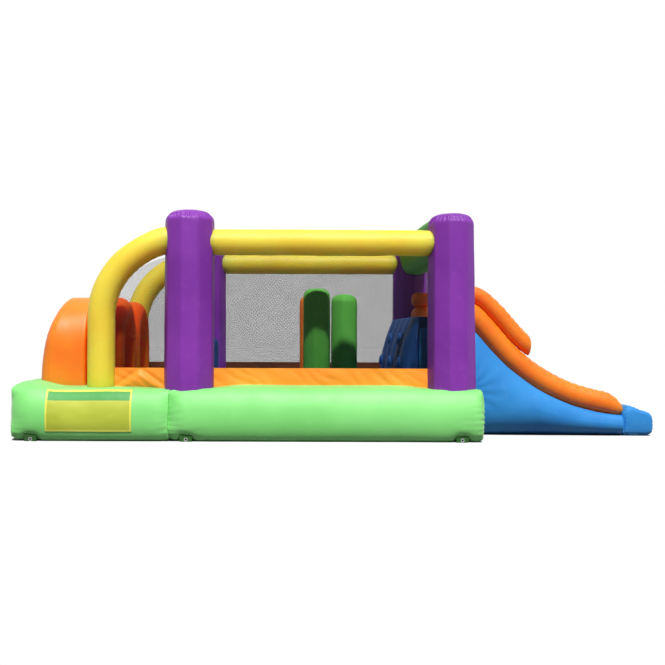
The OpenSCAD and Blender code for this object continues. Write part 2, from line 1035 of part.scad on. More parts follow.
entry_base();
front_base_tube();
rear_base_tube();
end_base_tube();
bounce_floor();
floor_webs();
front_left_column();
front_right_column();
rear_left_column();
rear_right_column();
front_beam();
rear_beam();
front_arch();
rear_arch();
cross_tube();
front_wall();
rear_wall();
front_entry_wall();
rear_entry_wall();
front_net();
rear_net();
front_arch_net();
rear_arch_net();
front_tunnel_outer_hoop();
front_tunnel_inner_hoop();
rear_tunnel_outer_hoop();
rear_tunnel_inner_hoop();
front_green_post();
rear_green_post();
orange_post();
blue_post();
climbing_wall();
climbing_holds();
slide_body();
slide_webs();
slide_bolster();
front_lower_rail();
front_upper_rail();
rear_lower_rail();
rear_upper_rail();
blank_patch();
inlet_collar();
zip_tape();
zip_slider();
zip_flap();
anchor_tabs();
anchor_eyelets();
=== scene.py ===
"""Looks of the inflatable bounce house: fabric chambers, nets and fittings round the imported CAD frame.

Metres, +Z up, +X towards the foot of the slide, -Y towards the camera.
"""

import math

import bpy
import numpy as np
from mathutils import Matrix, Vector


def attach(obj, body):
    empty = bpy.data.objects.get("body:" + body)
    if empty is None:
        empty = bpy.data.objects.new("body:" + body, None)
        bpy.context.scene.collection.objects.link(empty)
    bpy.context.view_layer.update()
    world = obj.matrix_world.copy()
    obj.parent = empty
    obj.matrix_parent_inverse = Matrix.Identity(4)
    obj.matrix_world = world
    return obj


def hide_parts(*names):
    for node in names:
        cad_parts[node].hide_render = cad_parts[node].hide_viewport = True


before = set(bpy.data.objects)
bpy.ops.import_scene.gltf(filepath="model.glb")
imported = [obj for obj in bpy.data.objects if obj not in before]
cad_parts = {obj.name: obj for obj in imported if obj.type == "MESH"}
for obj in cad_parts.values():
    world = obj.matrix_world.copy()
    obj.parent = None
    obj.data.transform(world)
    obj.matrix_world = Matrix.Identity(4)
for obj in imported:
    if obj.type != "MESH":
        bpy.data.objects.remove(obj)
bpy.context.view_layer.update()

TAU = 2 * math.pi

# Places of the frame, as in the CAD model
X_LEFT, X_SEAM, X_PLATFORM, X_END, X_RIGHT = -3.0, -1.615, 0.741, 1.191, 3.0
SIDE_Y, ENTRY_Y, TUBE_INNER_Y, COLUMN_Y, SLIDE_Y = 1.44, 1.438, 0.935, 1.12, 0.79
BASE_H, FLOOR_Z = 0.465, 0.44
BASE_EDGE, BASE_FOOT = (0.14, 0.26), (0.11, 0.205)
VALLEY = 0.015
ENTRY_CROWN, TUBE_CROWN, END_CROWN = 0.012, 0.042, 0.048
LEFT_COLUMN_X, RIGHT_COLUMN_X = -1.438, 0.977
COLUMN_R, COLUMN_TOP_R, COLUMN_TOP, CAP_H = 0.222, 0.214, 2.095, 0.10
BEAM_Z, BEAM_R = 1.805, 0.119
ARCH_R, ARCH_BEND_R, ARCH_LEG_X, ARCH_RISE = 0.127, 0.7, -2.251, 0.022
CROSS_X, CROSS_Z, CROSS_HALF_W, CROSS_HALF_H = 0.96, 1.872, 0.14, 0.205
CROSS_SQUARE, CROSS_LEAN = 0.6, 0.035
TAB_X = (X_LEFT + 0.17, X_SEAM + 0.17, X_END - 0.17)
TAB_Y, TAB_T, TAB_W, TAB_FLAT, EYELET_Z, EYELET_R = 1.388, 0.004, 0.11, 0.15, 0.019, 0.0124
WALL_TOP = 0.648
GAP = 0.0004


# Noise and wrinkles

def smooth(low, high, x):
    t = np.clip((x - low) / (high - low), 0, 1)
    return t * t * (3 - 2 * t)


def lattice(i, j, k, seed):
    h = (i * 374761393 + j * 668265263 + k * 1440662683 + seed * 974634777) & 0xFFFFFFFF
    h = ((h ^ (h >> 13)) * 1274126177) & 0xFFFFFFFF
    return ((h ^ (h >> 16)) & 0xFFFF) / 32767.5 - 1


def noise(P, size, seed):
    """Smooth noise from -1 to 1 at points P, with features of that size."""
    Q = P / size
    cell = np.floor(Q).astype(np.int64)
    f = Q - cell
    f = f * f * (3 - 2 * f)
    total = np.zeros(P.shape[:-1])
    for a in (0, 1):
        for b in (0, 1):
            for c in (0, 1):
                weight = (f[..., 0] if a else 1 - f[..., 0]) * (f[..., 1] if b else 1 - f[..., 1])
                weight = weight * (f[..., 2] if c else 1 - f[..., 2])
                corner = lattice(cell[..., 0] + a, cell[..., 1] + b, cell[..., 2] + c, seed)
                total += weight * corner
    return total


def dents(P, size, depth, seed):
    """Slow unevenness of a blown-up skin."""
    return depth * (noise(P, size, seed) + 0.45 * noise(P, size * 0.47, seed + 1))


def pucker(P, distance, along, pitch, depth, reach, seed):
    """Short ridges that run away from a seam, deepest at it; along is the place along the seam."""
    wander = 0.55 * noise(P, 3.1 * pitch, seed)
    ridge = 1 - 2 * np.abs(np.sin(math.pi * along / pitch + math.pi * wander))
    strength = 0.55 + 0.45 * noise(P, 2.3 * pitch, seed + 1)
    length = reach * (0.75 + 0.5 * noise(P, 1.7 * pitch, seed + 2))
    fade = np.exp(-(distance / length) ** 2)
    return depth * fade * (strength * ridge - 0.6)


# Meshes

def normals_of(P, wrap):
    du = np.gradient(P, axis=0)
    if wrap:
        dv = (np.roll(P, -1, axis=1) - np.roll(P, 1, axis=1)) / 2
    else:
        dv = np.gradient(P, axis=1)
    n = np.cross(du, dv)
    return n / np.maximum(np.linalg.norm(n, axis=-1, keepdims=True), 1e-9)


def outward(P, N):
    """Whether the normals of a closed loft point away from its axis."""
    centre = P.mean(axis=1, keepdims=True)
    return float(((P - centre) * N).sum(axis=-1).mean()) >= 0


class Patch:
    """A grid of points; wrap closes it round its second direction, caps close its first and last rows."""

    def __init__(self, P, wrap=False, caps=False, relief=None, panel_u=None, panel_v=None, material=0):
        P = np.array(P, float)
        N = normals_of(P, wrap)
        if wrap and not outward(P, N):
            P = P[:, ::-1]
            N = -N[:, ::-1]
        step_u = np.linalg.norm(np.diff(P, axis=0), axis=-1).mean(axis=1)
        self.u = np.concatenate([[0], np.cumsum(step_u)])
        closed = np.concatenate([P, P[:, :1]], axis=1) if wrap else P
        step_v = np.linalg.norm(np.diff(closed, axis=1), axis=-1).max(axis=0)
        self.v = np.concatenate([[0], np.cumsum(step_v)])
        if relief is not None:
            along_v = self.v[:-1] if wrap else self.v
            U, V = np.meshgrid(self.u, along_v, indexing="ij")
            P = P + N * relief(P, U, V, self.u[-1], self.v[-1])[..., None]
        self.P, self.wrap, self.caps, self.material = P, wrap, caps, material
        self.pu = np.full_like(self.u, 0.5) if panel_u is None else self.u / panel_u
        self.pv = np.full_like(self.v, 0.5) if panel_v is None else panel_v(self.v)

    def faces(self, first):
        n, m = self.P.shape[:2]
        i, j = np.meshgrid(np.arange(n - 1), np.arange(m if self.wrap else m - 1), indexing="ij")
        i, j = i.ravel(), j.ravel()
        k = (j + 1) % m
        quads = first + np.stack([i * m + j, (i + 1) * m + j, (i + 1) * m + k, i * m + k], axis=1)
        rows = np.stack([i, i + 1, i + 1, i], axis=1)
        cols = np.stack([j, j, j + 1, j + 1], axis=1)
        points = self.P.reshape(-1, 3)
        faces, uv_rows, uv_cols = quads.tolist(), rows.ravel(), cols.ravel()
        if self.caps:
            poles = np.array([self.P[0].mean(axis=0), self.P[-1].mean(axis=0)])
            points = np.concatenate([points, poles])
            start, end = first + n * m, first + n * m + 1
            j = np.arange(m)
            k = (j + 1) % m
            one, two = np.full(m, start), np.full(m, end)
            last = first + (n - 1) * m
            faces += np.stack([one, first + j, first + k], axis=1).tolist()
            faces += np.stack([two, last + k, last + j], axis=1).tolist()
            uv_rows = np.concatenate([uv_rows, np.zeros(3 * m, int), np.full(3 * m, n - 1)])
            near, far = np.stack([j, j, j + 1], axis=1), np.stack([j, j + 1, j], axis=1)
            uv_cols = np.concatenate([uv_cols, near.ravel(), far.ravel()])
        metres = np.stack([self.u[uv_rows], self.v[uv_cols]], axis=1)
        panels = np.stack([self.pu[uv_rows], self.pv[uv_cols]], axis=1)
        return points, faces, metres, panels


def build(name, patches, *materials):
    """One object from patches, with UVs in metres and in panels."""
    points, faces, metres, panels, index = [], [], [], [], []
    count = 0
    for patch in patches:
        p, f, m, q = patch.faces(count)
        points.append(p)
        faces += f
        metres.append(m)
        panels.append(q)
        index += [patch.material] * len(f)
        count += len(p)
    mesh = bpy.data.meshes.new(name)
    mesh.from_pydata(np.concatenate(points).tolist(), [], faces)
    mesh.uv_layers.new(name="metres").data.foreach_set("uv", np.concatenate(metres).ravel())
    mesh.uv_layers.new(name="panels").data.foreach_set("uv", np.concatenate(panels).ravel())
    mesh.polygons.foreach_set("use_smooth", [True] * len(faces))
    mesh.polygons.foreach_set("material_index", index)
    for material in materials:
        mesh.materials.append(material)
    mesh.update()
    obj = bpy.data.objects.new(name, mesh)
    bpy.context.scene.collection.objects.link(obj)
    return obj


def put(obj, body, slot, *nodes):
    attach(obj, body)
    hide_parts(*nodes)
    return obj


def skin(name, P, relief, material, slot, panel_v=None, body="house"):
    """An inflated chamber: a closed loft that stands for the CAD node of that name."""
    obj = build(name + "_skin", [Patch(P, True, True, relief, panel_v=panel_v)], material)
    put(obj, body, slot, name)


def xyz(x, y, z):
    """Points from their coordinates, each stretched to the common shape."""
    return np.stack(np.broadcast_arrays(x, y, z), axis=-1)


def round_angles(count):
    return np.arange(count) / count * TAU


def resample(points, step=None, count=None, closed=False):
    """Evenly spaced points along a line."""
    points = np.asarray(points, float)
    if closed:
        points = np.concatenate([points, points[:1]])
    length = np.concatenate([[0], np.cumsum(np.linalg.norm(np.diff(points, axis=0), axis=1))])
    count = count or max(3, int(round(length[-1] / step)) + (0 if closed else 1))
    at = np.linspace(0, length[-1], count + 1)[:-1] if closed else np.linspace(0, length[-1], count)
    return np.stack([np.interp(at, length, points[:, k]) for k in range(points.shape[1])], axis=1)


def curve(points, step, closed=False):
    """Evenly spaced points on a smooth line through a few points."""
    points = np.asarray(points, float)
    if closed:
        ends = np.concatenate([points[-1:], points, points[:2]])
    else:
        ends = np.concatenate([2 * points[:1] - points[1:2], points, 2 * points[-1:] - points[-2:-1]])
    t = np.linspace(0, 1, 24, endpoint=False)[:, None]
    spans = []
    for a, b, c, d in zip(ends, ends[1:], ends[2:], ends[3:]):
        spans.append(0.5 * (2 * b + (c - a) * t + (2 * a - 5 * b + 4 * c - d) * t ** 2
                            + (3 * b - a - 3 * c + d) * t ** 3))
    line = np.concatenate(spans + ([] if closed else [points[-1:]]))
    return resample(line, step, closed=closed)


def bulged_section(y0, y1, z0, z1, outer, inner, step):
    """Points round a section with quarter-ellipse corners; outer (y0) and inner (y1) are (upper, lower)."""
    def corner(cy, cz, ry, rz, a0):
        a = np.radians(np.linspace(a0, a0 + 90, 24))
        return np.stack([cy + ry * np.cos(a), cz + rz * np.sin(a)], axis=1)
    line = np.concatenate([
        corner(y1 - inner[1][0], z0 + inner[1][1], *inner[1], -90),
        corner(y1 - inner[0][0], z1 - inner[0][1], *inner[0], 0),
        corner(y0 + outer[0][0], z1 - outer[0][1], *outer[0], 90),
        corner(y0 + outer[1][0], z0 + outer[1][1], *outer[1], 180),
    ])
    return resample(line, step, closed=True)


def section_normals(S):
    d = np.roll(S, -1, axis=0) - np.roll(S, 1, axis=0)
    n = np.stack([d[:, 1], -d[:, 0]], axis=1)
    return n / np.maximum(np.linalg.norm(n, axis=1, keepdims=True), 1e-9)


def drawn_end(length, depth, free):
    """Places along an end and how far the section draws in there: rounded if free, else an open valley."""
    a = np.radians(np.linspace(0, 90, 14))
    return length * np.sin(a), depth * (1 - np.cos(a) if free else np.sin(a) ** 2)


CAP_ROWS = np.array([0.97, 0.92, 0.86, 0.78, 0.68, 0.56, 0.44, 0.32, 0.2, 0.08])


def block(S, x0, x1, start, end, step, weight=None):
    """Rings of a long chamber of section S; start and end are (length, depth, bulge) of its ends."""
    n = section_normals(S)
    weight = np.ones(len(S)) if weight is None else weight
    a_at, a_in = drawn_end(start[0], start[1], start[2] > 0)
    b_at, b_in = drawn_end(end[0], end[1], end[2] > 0)
    xa, xb = x0 + start[2] + start[0], x1 - end[2] - end[0]
    middle = np.linspace(xa, xb, int((xb - xa) / step) + 1)[1:-1]
    xs = np.concatenate([(xa - a_at)[::-1], middle, xb + b_at])
    draw = np.concatenate([a_in[::-1], np.zeros(len(middle)), b_in])
    yz = S[None] - n[None] * (draw[:, None] * weight[None])[..., None]
    P = xyz(xs[:, None], yz[..., 0], yz[..., 1])

    def cap(ring, bulge):
        centre = (ring.min(axis=0) + ring.max(axis=0)) / 2
        reach = ring.max(axis=0) - centre
        rows = centre + (ring - centre)[None] * CAP_ROWS[:, None, None]
        across = (rows[..., 1] - centre[1]) / reach[1]
        up = (rows[..., 2] - centre[2]) / reach[2]
        rows[..., 0] += bulge * np.sqrt(np.clip((1 - across ** 8) * (1 - up ** 2), 0, 1))
        return rows
    return np.concatenate([cap(P[0], -start[2])[::-1], P, cap(P[-1], end[2])])


# Materials

def srgb(r, g, b):
    """A colour as seen, 0 to 255, as the linear colour a shader takes."""
    def linear(c):
        c /= 255
        return c / 12.92 if c <= 0.04045 else ((c + 0.055) / 1.055) ** 2.4
    return (linear(r), linear(g), linear(b), 1)


class Nodes:
    """Short forms for making a material's nodes."""

    def __init__(self, name):
        self.material = bpy.data.materials.new(name)
        self.material.use_nodes = True
        self.tree = self.material.node_tree
        self.shader = self.tree.nodes["Principled BSDF"]

    def add(self, kind, **settings):
        node = self.tree.nodes.new(kind)
        for key, value in settings.items():
            setattr(node, key, value)
        return node

    def link(self, source, target):
        if isinstance(source, (int, float)):
            target.default_value = source
        else:
            self.tree.links.new(source, target)

    def math(self, operation, a, b=None, clamp=False):
        node = self.add("ShaderNodeMath", operation=operation, use_clamp=clamp)
        self.link(a, node.inputs[0])
        if b is not None:
            self.link(b, node.inputs[1])
        return node.outputs[0]

    def ramp(self, value, low, high, to_low=0.0, to_high=1.0):
        node = self.add("ShaderNodeMapRange", interpolation_type="SMOOTHSTEP")
        self.link(value, node.inputs["Value"])
        for key, number in (("From Min", low), ("From Max", high), ("To Min", to_low), ("To Max", to_high)):
            node.inputs[key].default_value = number
        return node.outputs["Result"]

    def noise(self, vector, scale, detail=3.0, roughness=0.55):
        node = self.add("ShaderNodeTexNoise")
        self.link(vector, node.inputs["Vector"])
        node.inputs["Scale"].default_value = scale
        node.inputs["Detail"].default_value = detail
        node.inputs["Roughness"].default_value = roughness
        return node.outputs["Fac"]

    def mix(self, factor, a, b):
        node = self.add("ShaderNodeMix", data_type="RGBA")
        self.link(factor, node.inputs["Factor"])
        for socket, value in ((node.inputs[6], a), (node.inputs[7], b)):
            if isinstance(value, tuple):
                socket.default_value = value
            else:
                self.link(value, socket)
        return node.outputs[2]

    def bump(self, height, strength, distance, normal=None):
        node = self.add("ShaderNodeBump")
        node.inputs["Strength"].default_value = strength
        node.inputs["Distance"].default_value = distance
        self.link(height, node.inputs["Height"])
        if normal is not None:
            self.link(normal, node.inputs["Normal"])
        return node.outputs["Normal"]

    def separate(self, vector):
        node = self.add("ShaderNodeSeparateXYZ")
        self.link(vector, node.inputs[0])
        return node.outputs


WEAVE_PITCH, STITCH_PITCH = 0.0024, 0.009
DUST, DUST_TOP, DUST_SHARE = srgb(122, 112, 92), 0.16, 0.12


def shade(colour, factor, tint=(1, 1, 1)):
    return tuple(c * factor * t for c, t in zip(colour[:3], tint)) + (1,)


def coated_fabric(name, colour, deep, light, roughness=0.55, gloss=0.5, seams=True,
                  glow=None, glow_share=0.6, sheen=0.0):
    """Coated woven fabric: weave, soft creases, scuffs, dust near the ground, and stitched panel seams."""
    g = Nodes(name)
    place = g.add("ShaderNodeTexCoord").outputs["Object"]
    uv = g.add("ShaderNodeUVMap", uv_map="metres").outputs[0]
    slow = g.noise(place, 1.7, 2.0)
    fine = g.noise(place, 14.0, 5.0, 0.62)
    grain = g.noise(place, 90.0, 3.0)
    base = g.mix(g.ramp(slow, 0.32, 0.68), deep, colour)
    base = g.mix(g.ramp(fine, 0.5, 0.8, 0.0, 0.22), base, light)
    dust = g.math("MULTIPLY", g.ramp(g.separate(place)[2], 0.0, DUST_TOP, 1.0, 0.0), g.ramp(fine, 0.4, 0.7))
    base = g.mix(g.math("MULTIPLY", dust, DUST_SHARE), base, DUST)
    u, v = g.separate(uv)[0], g.separate(uv)[1]
    warp = g.math("SINE", g.math("MULTIPLY", u, TAU / WEAVE_PITCH))
    weft = g.math("SINE", g.math("MULTIPLY", v, TAU / WEAVE_PITCH))
    weave = g.math("MULTIPLY", warp, weft)
    base = g.mix(g.ramp(weave, -1.0, 1.0, 0.0, 0.10), base, deep)
    height = g.math("ADD", g.math("MULTIPLY", fine, 0.7), g.math("MULTIPLY", grain, 0.12))
    normal = g.bump(height, 0.05, 0.006)
    normal = g.bump(weave, 0.10, 0.0006, normal)
    if seams:
        panel = g.separate(g.add("ShaderNodeUVMap", uv_map="panels").outputs[0])
        line = None
        for value, run in ((panel[0], v), (panel[1], u)):
            away = g.math("ABSOLUTE", g.math("SUBTRACT", g.math("FRACT", value), 0.5))
            groove = g.ramp(away, 0.482, 0.5)
            rows = g.math("MULTIPLY", g.ramp(away, 0.468, 0.472), g.ramp(away, 0.476, 0.480, 1.0, 0.0))
            dash = g.math("GREATER_THAN", g.math("FRACT", g.math("MULTIPLY", run, 1 / STITCH_PITCH)), 0.35)
            thread = g.math("MULTIPLY", rows, dash)
            base = g.mix(g.math("MULTIPLY", groove, 0.45), base, shade(deep, 0.5))
            base = g.mix(g.math("MULTIPLY", thread, 0.5), base, light)
            here = g.math("SUBTRACT", g.math("MULTIPLY", thread, 0.25), groove)
            line = here if line is None else g.math("ADD", line, here)
        normal = g.bump(line, 0.5, 0.003, normal)
    g.link(base, g.shader.inputs["Base Color"])
    g.link(g.ramp(fine, 0.3, 0.75, roughness - 0.03, roughness + 0.04), g.shader.inputs["Roughness"])
    g.link(normal, g.shader.inputs["Normal"])
    g.shader.inputs["Specular IOR Level"].default_value = gloss
    g.shader.inputs["Sheen Weight"].default_value = sheen
    if glow:
        g.shader.inputs["Subsurface Weight"].default_value = glow_share
        g.shader.inputs["Subsurface Radius"].default_value = glow
        g.shader.inputs["Subsurface Scale"].default_value = 0.8
    return g.material


def net_cord(name):
    g = Nodes(name)
    place = g.add("ShaderNodeTexCoord").outputs["Object"]
    uv = g.separate(g.add("ShaderNodeUVMap", uv_map="metres").outputs[0])
    twist = g.math("SINE", g.math("MULTIPLY", g.math("ADD", uv[0], uv[1]), TAU / 0.004))
    base = g.mix(g.noise(place, 6.0, 4.0), srgb(14, 14, 15), srgb(24, 24, 25))
    base = g.mix(g.ramp(twist, -1.0, 1.0, 0.0, 0.5), base, srgb(10, 10, 11))
    g.link(base, g.shader.inputs["Base Color"])
    g.link(g.ramp(g.noise(place, 40.0), 0.3, 0.7, 0.6, 0.8), g.shader.inputs["Roughness"])
    g.link(g.bump(twist, 0.5, 0.001), g.shader.inputs["Normal"])
    g.shader.inputs["Specular IOR Level"].default_value = 0.1
    return g.material


def brushed_metal(name):
    g = Nodes(name)
    place = g.add("ShaderNodeTexCoord").outputs["Object"]
    scratch = g.add("ShaderNodeMapping")
    scratch.inputs["Scale"].default_value = (60, 60, 900)
    g.link(place, scratch.inputs["Vector"])
    lines = g.noise(scratch.outputs[0], 1.0, 4.0)
    stain = g.noise(place, 120.0, 3.0)
    base = g.mix(g.ramp(lines, 0.3, 0.7), srgb(150, 152, 156), srgb(205, 206, 208))
    base = g.mix(g.ramp(stain, 0.55, 0.75, 0.0, 0.5), base, srgb(112, 106, 98))
    g.link(base, g.shader.inputs["Base Color"])
    g.link(g.ramp(lines, 0.2, 0.8, 0.28, 0.46), g.shader.inputs["Roughness"])
    g.link(g.bump(lines, 0.2, 0.0005), g.shader.inputs["Normal"])
    g.shader.inputs["Metallic"].default_value = 1.0
    return g.material


PURPLE = coated_fabric("purple", srgb(132, 48, 166), srgb(120, 39, 154), srgb(154, 78, 186), 0.5, 0.4)
YELLOW = coated_fabric("yellow", srgb(254, 218, 70), srgb(252, 206, 52), srgb(255, 232, 104),
                       glow=(0.45, 0.27, 0.02), glow_share=0.85)
LIME = coated_fabric("lime", srgb(130, 220, 118), srgb(116, 208, 104), srgb(156, 234, 144), 0.6, 0.75,
                     sheen=0.25)
LEAF = coated_fabric("leaf", srgb(106, 192, 84), srgb(90, 176, 70), srgb(134, 210, 112), gloss=0.12)
ORANGE = coated_fabric("orange", srgb(254, 134, 24), srgb(251, 114, 14), srgb(255, 156, 50), 0.44, 0.4,
                       glow=(0.4, 0.09, 0.01), glow_share=0.6)
# A redder, darker copy of the orange, used as painted shade inside the tunnel; the inner hoops take it in
# place of the orange.
ORANGE_PAINTED_SHADE = coated_fabric("orange_painted_shade", srgb(248, 92, 12), srgb(242, 76, 8), srgb(252, 118, 34), gloss=0.1,
                      glow=(0.6, 0.1, 0.01), glow_share=0.9)
# Dark brown for the inner face of the orange walls: painted shade, not a fabric of its own.
WALL_BACK_PAINTED_SHADE = coated_fabric("wall_back_painted_shade", srgb(96, 46, 28), srgb(80, 36, 22), srgb(118, 62, 40), gloss=0.2)
# A darker copy of the blue, used as painted shade for the climbing wall, its holds and the short blue post,
# which sit in shadow.
BLUE_PAINTED_SHADE = coated_fabric("blue_painted_shade", srgb(30, 80, 142), srgb(22, 66, 126), srgb(48, 100, 160), gloss=0.2)
AMBER = coated_fabric("amber", srgb(254, 154, 42), srgb(252, 138, 30), srgb(255, 176, 72))
BLUE = coated_fabric("blue", srgb(50, 140, 210), srgb(36, 120, 194), srgb(90, 166, 226), gloss=0.3)
PATCH = coated_fabric("patch_field", srgb(186, 196, 62), srgb(172, 182, 50), srgb(204, 210, 92), seams=False)
PATCH_EDGE = coated_fabric("patch_edge", srgb(234, 232, 96), srgb(222, 218, 78), srgb(244, 240, 130),
                           seams=False)
PATCH_HEAD = coated_fabric("patch_head", srgb(66, 158, 66), srgb(54, 144, 56), srgb(96, 182, 94), seams=False)
# Dark green for the anchor tabs: painted shade, as if they hung in shadow under the base's bulge.
TAB_PAINTED_SHADE = coated_fabric("tab_painted_shade", srgb(46, 96, 38), srgb(38, 82, 32), srgb(66, 118, 56), gloss=0.2, seams=False)
NET = net_cord("net_cord")
METAL = brushed_metal("brushed_steel")


# The base: an entry block, two side tubes and a tube below the platform

def base_height(y):
    """Height of the base's top across its width."""
    reach, drop = BASE_EDGE
    t = np.clip((np.abs(y) - (SIDE_Y - reach)) / reach, 0, 0.97)
    return BASE_H - drop + drop * np.sqrt(1 - t * t)


def crown(P, rise):
    """Raise the top of the base by that much, more at its free left end; the columns hold it down."""
    held = np.zeros(P.shape[:2])
    for x in (LEFT_COLUMN_X, RIGHT_COLUMN_X):
        away = np.hypot(P[..., 0] - x, np.abs(P[..., 1]) - COLUMN_Y)
        held = np.maximum(held, np.exp(-(away / (1.6 * COLUMN_R)) ** 4))
    across = smooth(SIDE_Y, SIDE_Y - 0.5, np.abs(P[..., 1]))
    loose = END_CROWN * smooth(X_LEFT + 0.42, X_LEFT + 0.12, P[..., 0]) * across ** 0.4
    P[..., 2] += (rise * across * (1 - held) + loose) * smooth(0.2, BASE_H, P[..., 2])
    return P


def lift_over_tabs(P):
    """Draw the base's foot up where an anchor tab hangs from it."""
    low = smooth(0.13, 0.0, P[..., 2]) * smooth(SIDE_Y - 0.16, SIDE_Y - 0.06, np.abs(P[..., 1]))
    for x in TAB_X:
        P[..., 2] += 0.035 * low * np.exp(-((P[..., 0] - x) / 0.075) ** 4)
    return P


def base_relief(left, right, seed):
    """Dents all over, puckers at both ends; left and right are (place, depth, reach)."""
    def relief(P, U, V, length, girth):
        pitch = girth / round(girth / 0.052)
        low = smooth(0.30, 0.05, P[..., 2])
        inside = np.minimum(SIDE_Y - np.abs(P[..., 1]), np.minimum(P[..., 2], BASE_H - P[..., 2]))
        edge = smooth(0.14, 0.05, inside)
        total = dents(P, 0.42, 0.0045, seed)
        for place, depth, reach in (left, right):
            away = np.abs(P[..., 0] - place)
            total = total + pucker(P, away, V, pitch, depth, reach, seed + 3) * (0.45 + 0.9 * low) * edge
        lift = smooth(0.0, 0.03, P[..., 2])
        return total * lift
    return relief


def flat_top(S):
    """Share of the draw at a block's ends: little on top, all of it on the sides."""
    return 1 - 0.85 * smooth(0.4, 0.95, section_normals(S)[:, 1])


def make_entry_base():
    S = bulged_section(-ENTRY_Y, ENTRY_Y, 0, BASE_H, (BASE_EDGE, BASE_FOOT), (BASE_EDGE, BASE_FOOT), 0.02)
    weight = 0.3 + 0.7 * smooth(0.02, 0.22, S[:, 1])
    weight = weight * flat_top(S)
    P = block(S, X_LEFT - 0.045, X_SEAM + VALLEY, (0.2, 0.12, 0.03), (0.12, 0.03, 0.0), 0.02, weight)
    relief = base_relief((X_LEFT + 0.03, 0.009, 0.12), (X_SEAM, 0.009, 0.13), 11)
    P = lift_over_tabs(crown(P, ENTRY_CROWN))
    skin("entry_base", P, relief, LIME, "lime_fabric")


def make_side_tube(name, side, seed):
    square = ((0.03, 0.03), (0.03, 0.03))
    S = bulged_section(-SIDE_Y, -TUBE_INNER_Y, 0, BASE_H, (BASE_EDGE, BASE_FOOT), square, 0.02)
    weight = smooth(-TUBE_INNER_Y - 0.02, -TUBE_INNER_Y - 0.16, S[:, 0])
    weight = weight * (0.3 + 0.7 * smooth(0.02, 0.22, S[:, 1])) * flat_top(S)
    P = block(S, X_SEAM - VALLEY, X_END + 0.035, (0.17, 0.075, 0.0), (0.07, 0.05, 0.022), 0.02, weight)
    P[..., 1] *= -side
    relief = base_relief((X_SEAM, 0.014, 0.18), (X_END - 0.01, 0.011, 0.13), seed)
    P = lift_over_tabs(crown(P, TUBE_CROWN))
    skin(name, P, relief, LIME, "lime_fabric")


def make_end_tube():
    y = TUBE_INNER_Y - GAP
    corners = ((0.04, 0.04), (0.04, 0.04))
    S = bulged_section(-y, y, 0, BASE_H, corners, corners, 0.03)
    P = block(S, X_PLATFORM, X_END, (0.03, 0.02, 0.0), (0.1, 0.06, 0.0), 0.03)
    relief = base_relief((X_PLATFORM, 0.003, 0.06), (X_END, 0.004, 0.08), 31)
    skin("end_base_tube", P, relief, LIME, "lime_fabric")


# The bounce floor with sewn channels and a socket for each post

FLOOR_CHANNELS, CHANNEL_DEPTH = 7, 0.03
CHANNEL_PITCH = (X_PLATFORM - X_SEAM) / FLOOR_CHANNELS
POST_R, POST_TOP, SHORT_POST_TOP, POST_PIVOT_Z = 0.137, 1.4, 0.95, 0.485
POSTS = {
    "front_green_post": (-0.235, -0.59, POST_TOP + 0.02),
    "rear_green_post": (0.066, -0.235, POST_TOP - 0.02),
    "orange_post": (-0.235, 0.33, POST_TOP),
    "blue_post": (-1.365, 0.0, SHORT_POST_TOP),
}


def make_floor():
    y = TUBE_INNER_Y - GAP
    corners = ((0.04, 0.04), (0.04, 0.04))
    S = bulged_section(-y, y, 0, FLOOR_Z, corners, corners, 0.018)
    P = block(S, X_SEAM + GAP, X_PLATFORM - GAP, (0.03, 0.02, 0.0), (0.03, 0.02, 0.0), 0.014)
    lobe = np.mod((P[..., 0] - X_SEAM) / CHANNEL_PITCH, 1)
    dip = CHANNEL_DEPTH * np.abs(2 * lobe - 1) ** 5
    P[..., 2] *= 1 - dip / FLOOR_Z
    def relief(P, U, V, length, girth):
        seam = np.abs(np.mod((P[..., 0] - X_SEAM) / CHANNEL_PITCH + 0.5, 1) - 0.5) * CHANNEL_PITCH
        top = smooth(0.2, 0.4, P[..., 2])
        ridges = pucker(P, seam, V, girth / round(girth / 0.05), 0.004, 0.05, 41)
        return (dents(P, 0.3, 0.003, 42) - 0.004 + ridges) * top
    patch = Patch(P, True, True, relief)
    for x, y_post, _ in POSTS.values():
        away = np.hypot(patch.P[..., 0] - x, patch.P[..., 1] - y_post)
        cup = POST_PIVOT_Z - np.sqrt(np.maximum((POST_R + 0.004) ** 2 - away ** 2, 0)) - 0.003
        inside = (away < POST_R + 0.004) & (patch.P[..., 2] > 0.2)
        patch.P[..., 2] = np.where(inside, np.minimum(patch.P[..., 2], cup), patch.P[..., 2])
    obj = build("bounce_floor_skin", [patch], BLUE)
    put(obj, "house", "blue_fabric", "bounce_floor")


# Columns

COLUMN_GORES, SEAT_DROP = 9, 0.06
GORE_START = math.radians(-14.5)
# Each as (sink, foot radius, top radius, lean)
LEFT_COLUMN = (0, 0.235, 0.23, 0)
RIGHT_COLUMN = (0.02, 0.223, 0.208, -0.01)


def faceted(angle, gores, start, amount):
    """Radius factor of a tube sewn from flat gores, tightest in the middle of each."""
    half = math.pi / gores
    off = np.mod(angle - start, 2 * half) - half
    flat = math.cos(half * 0.9) / np.cos(off)
    flat = np.minimum(flat, 1.0)
    return 1 - amount + amount * flat


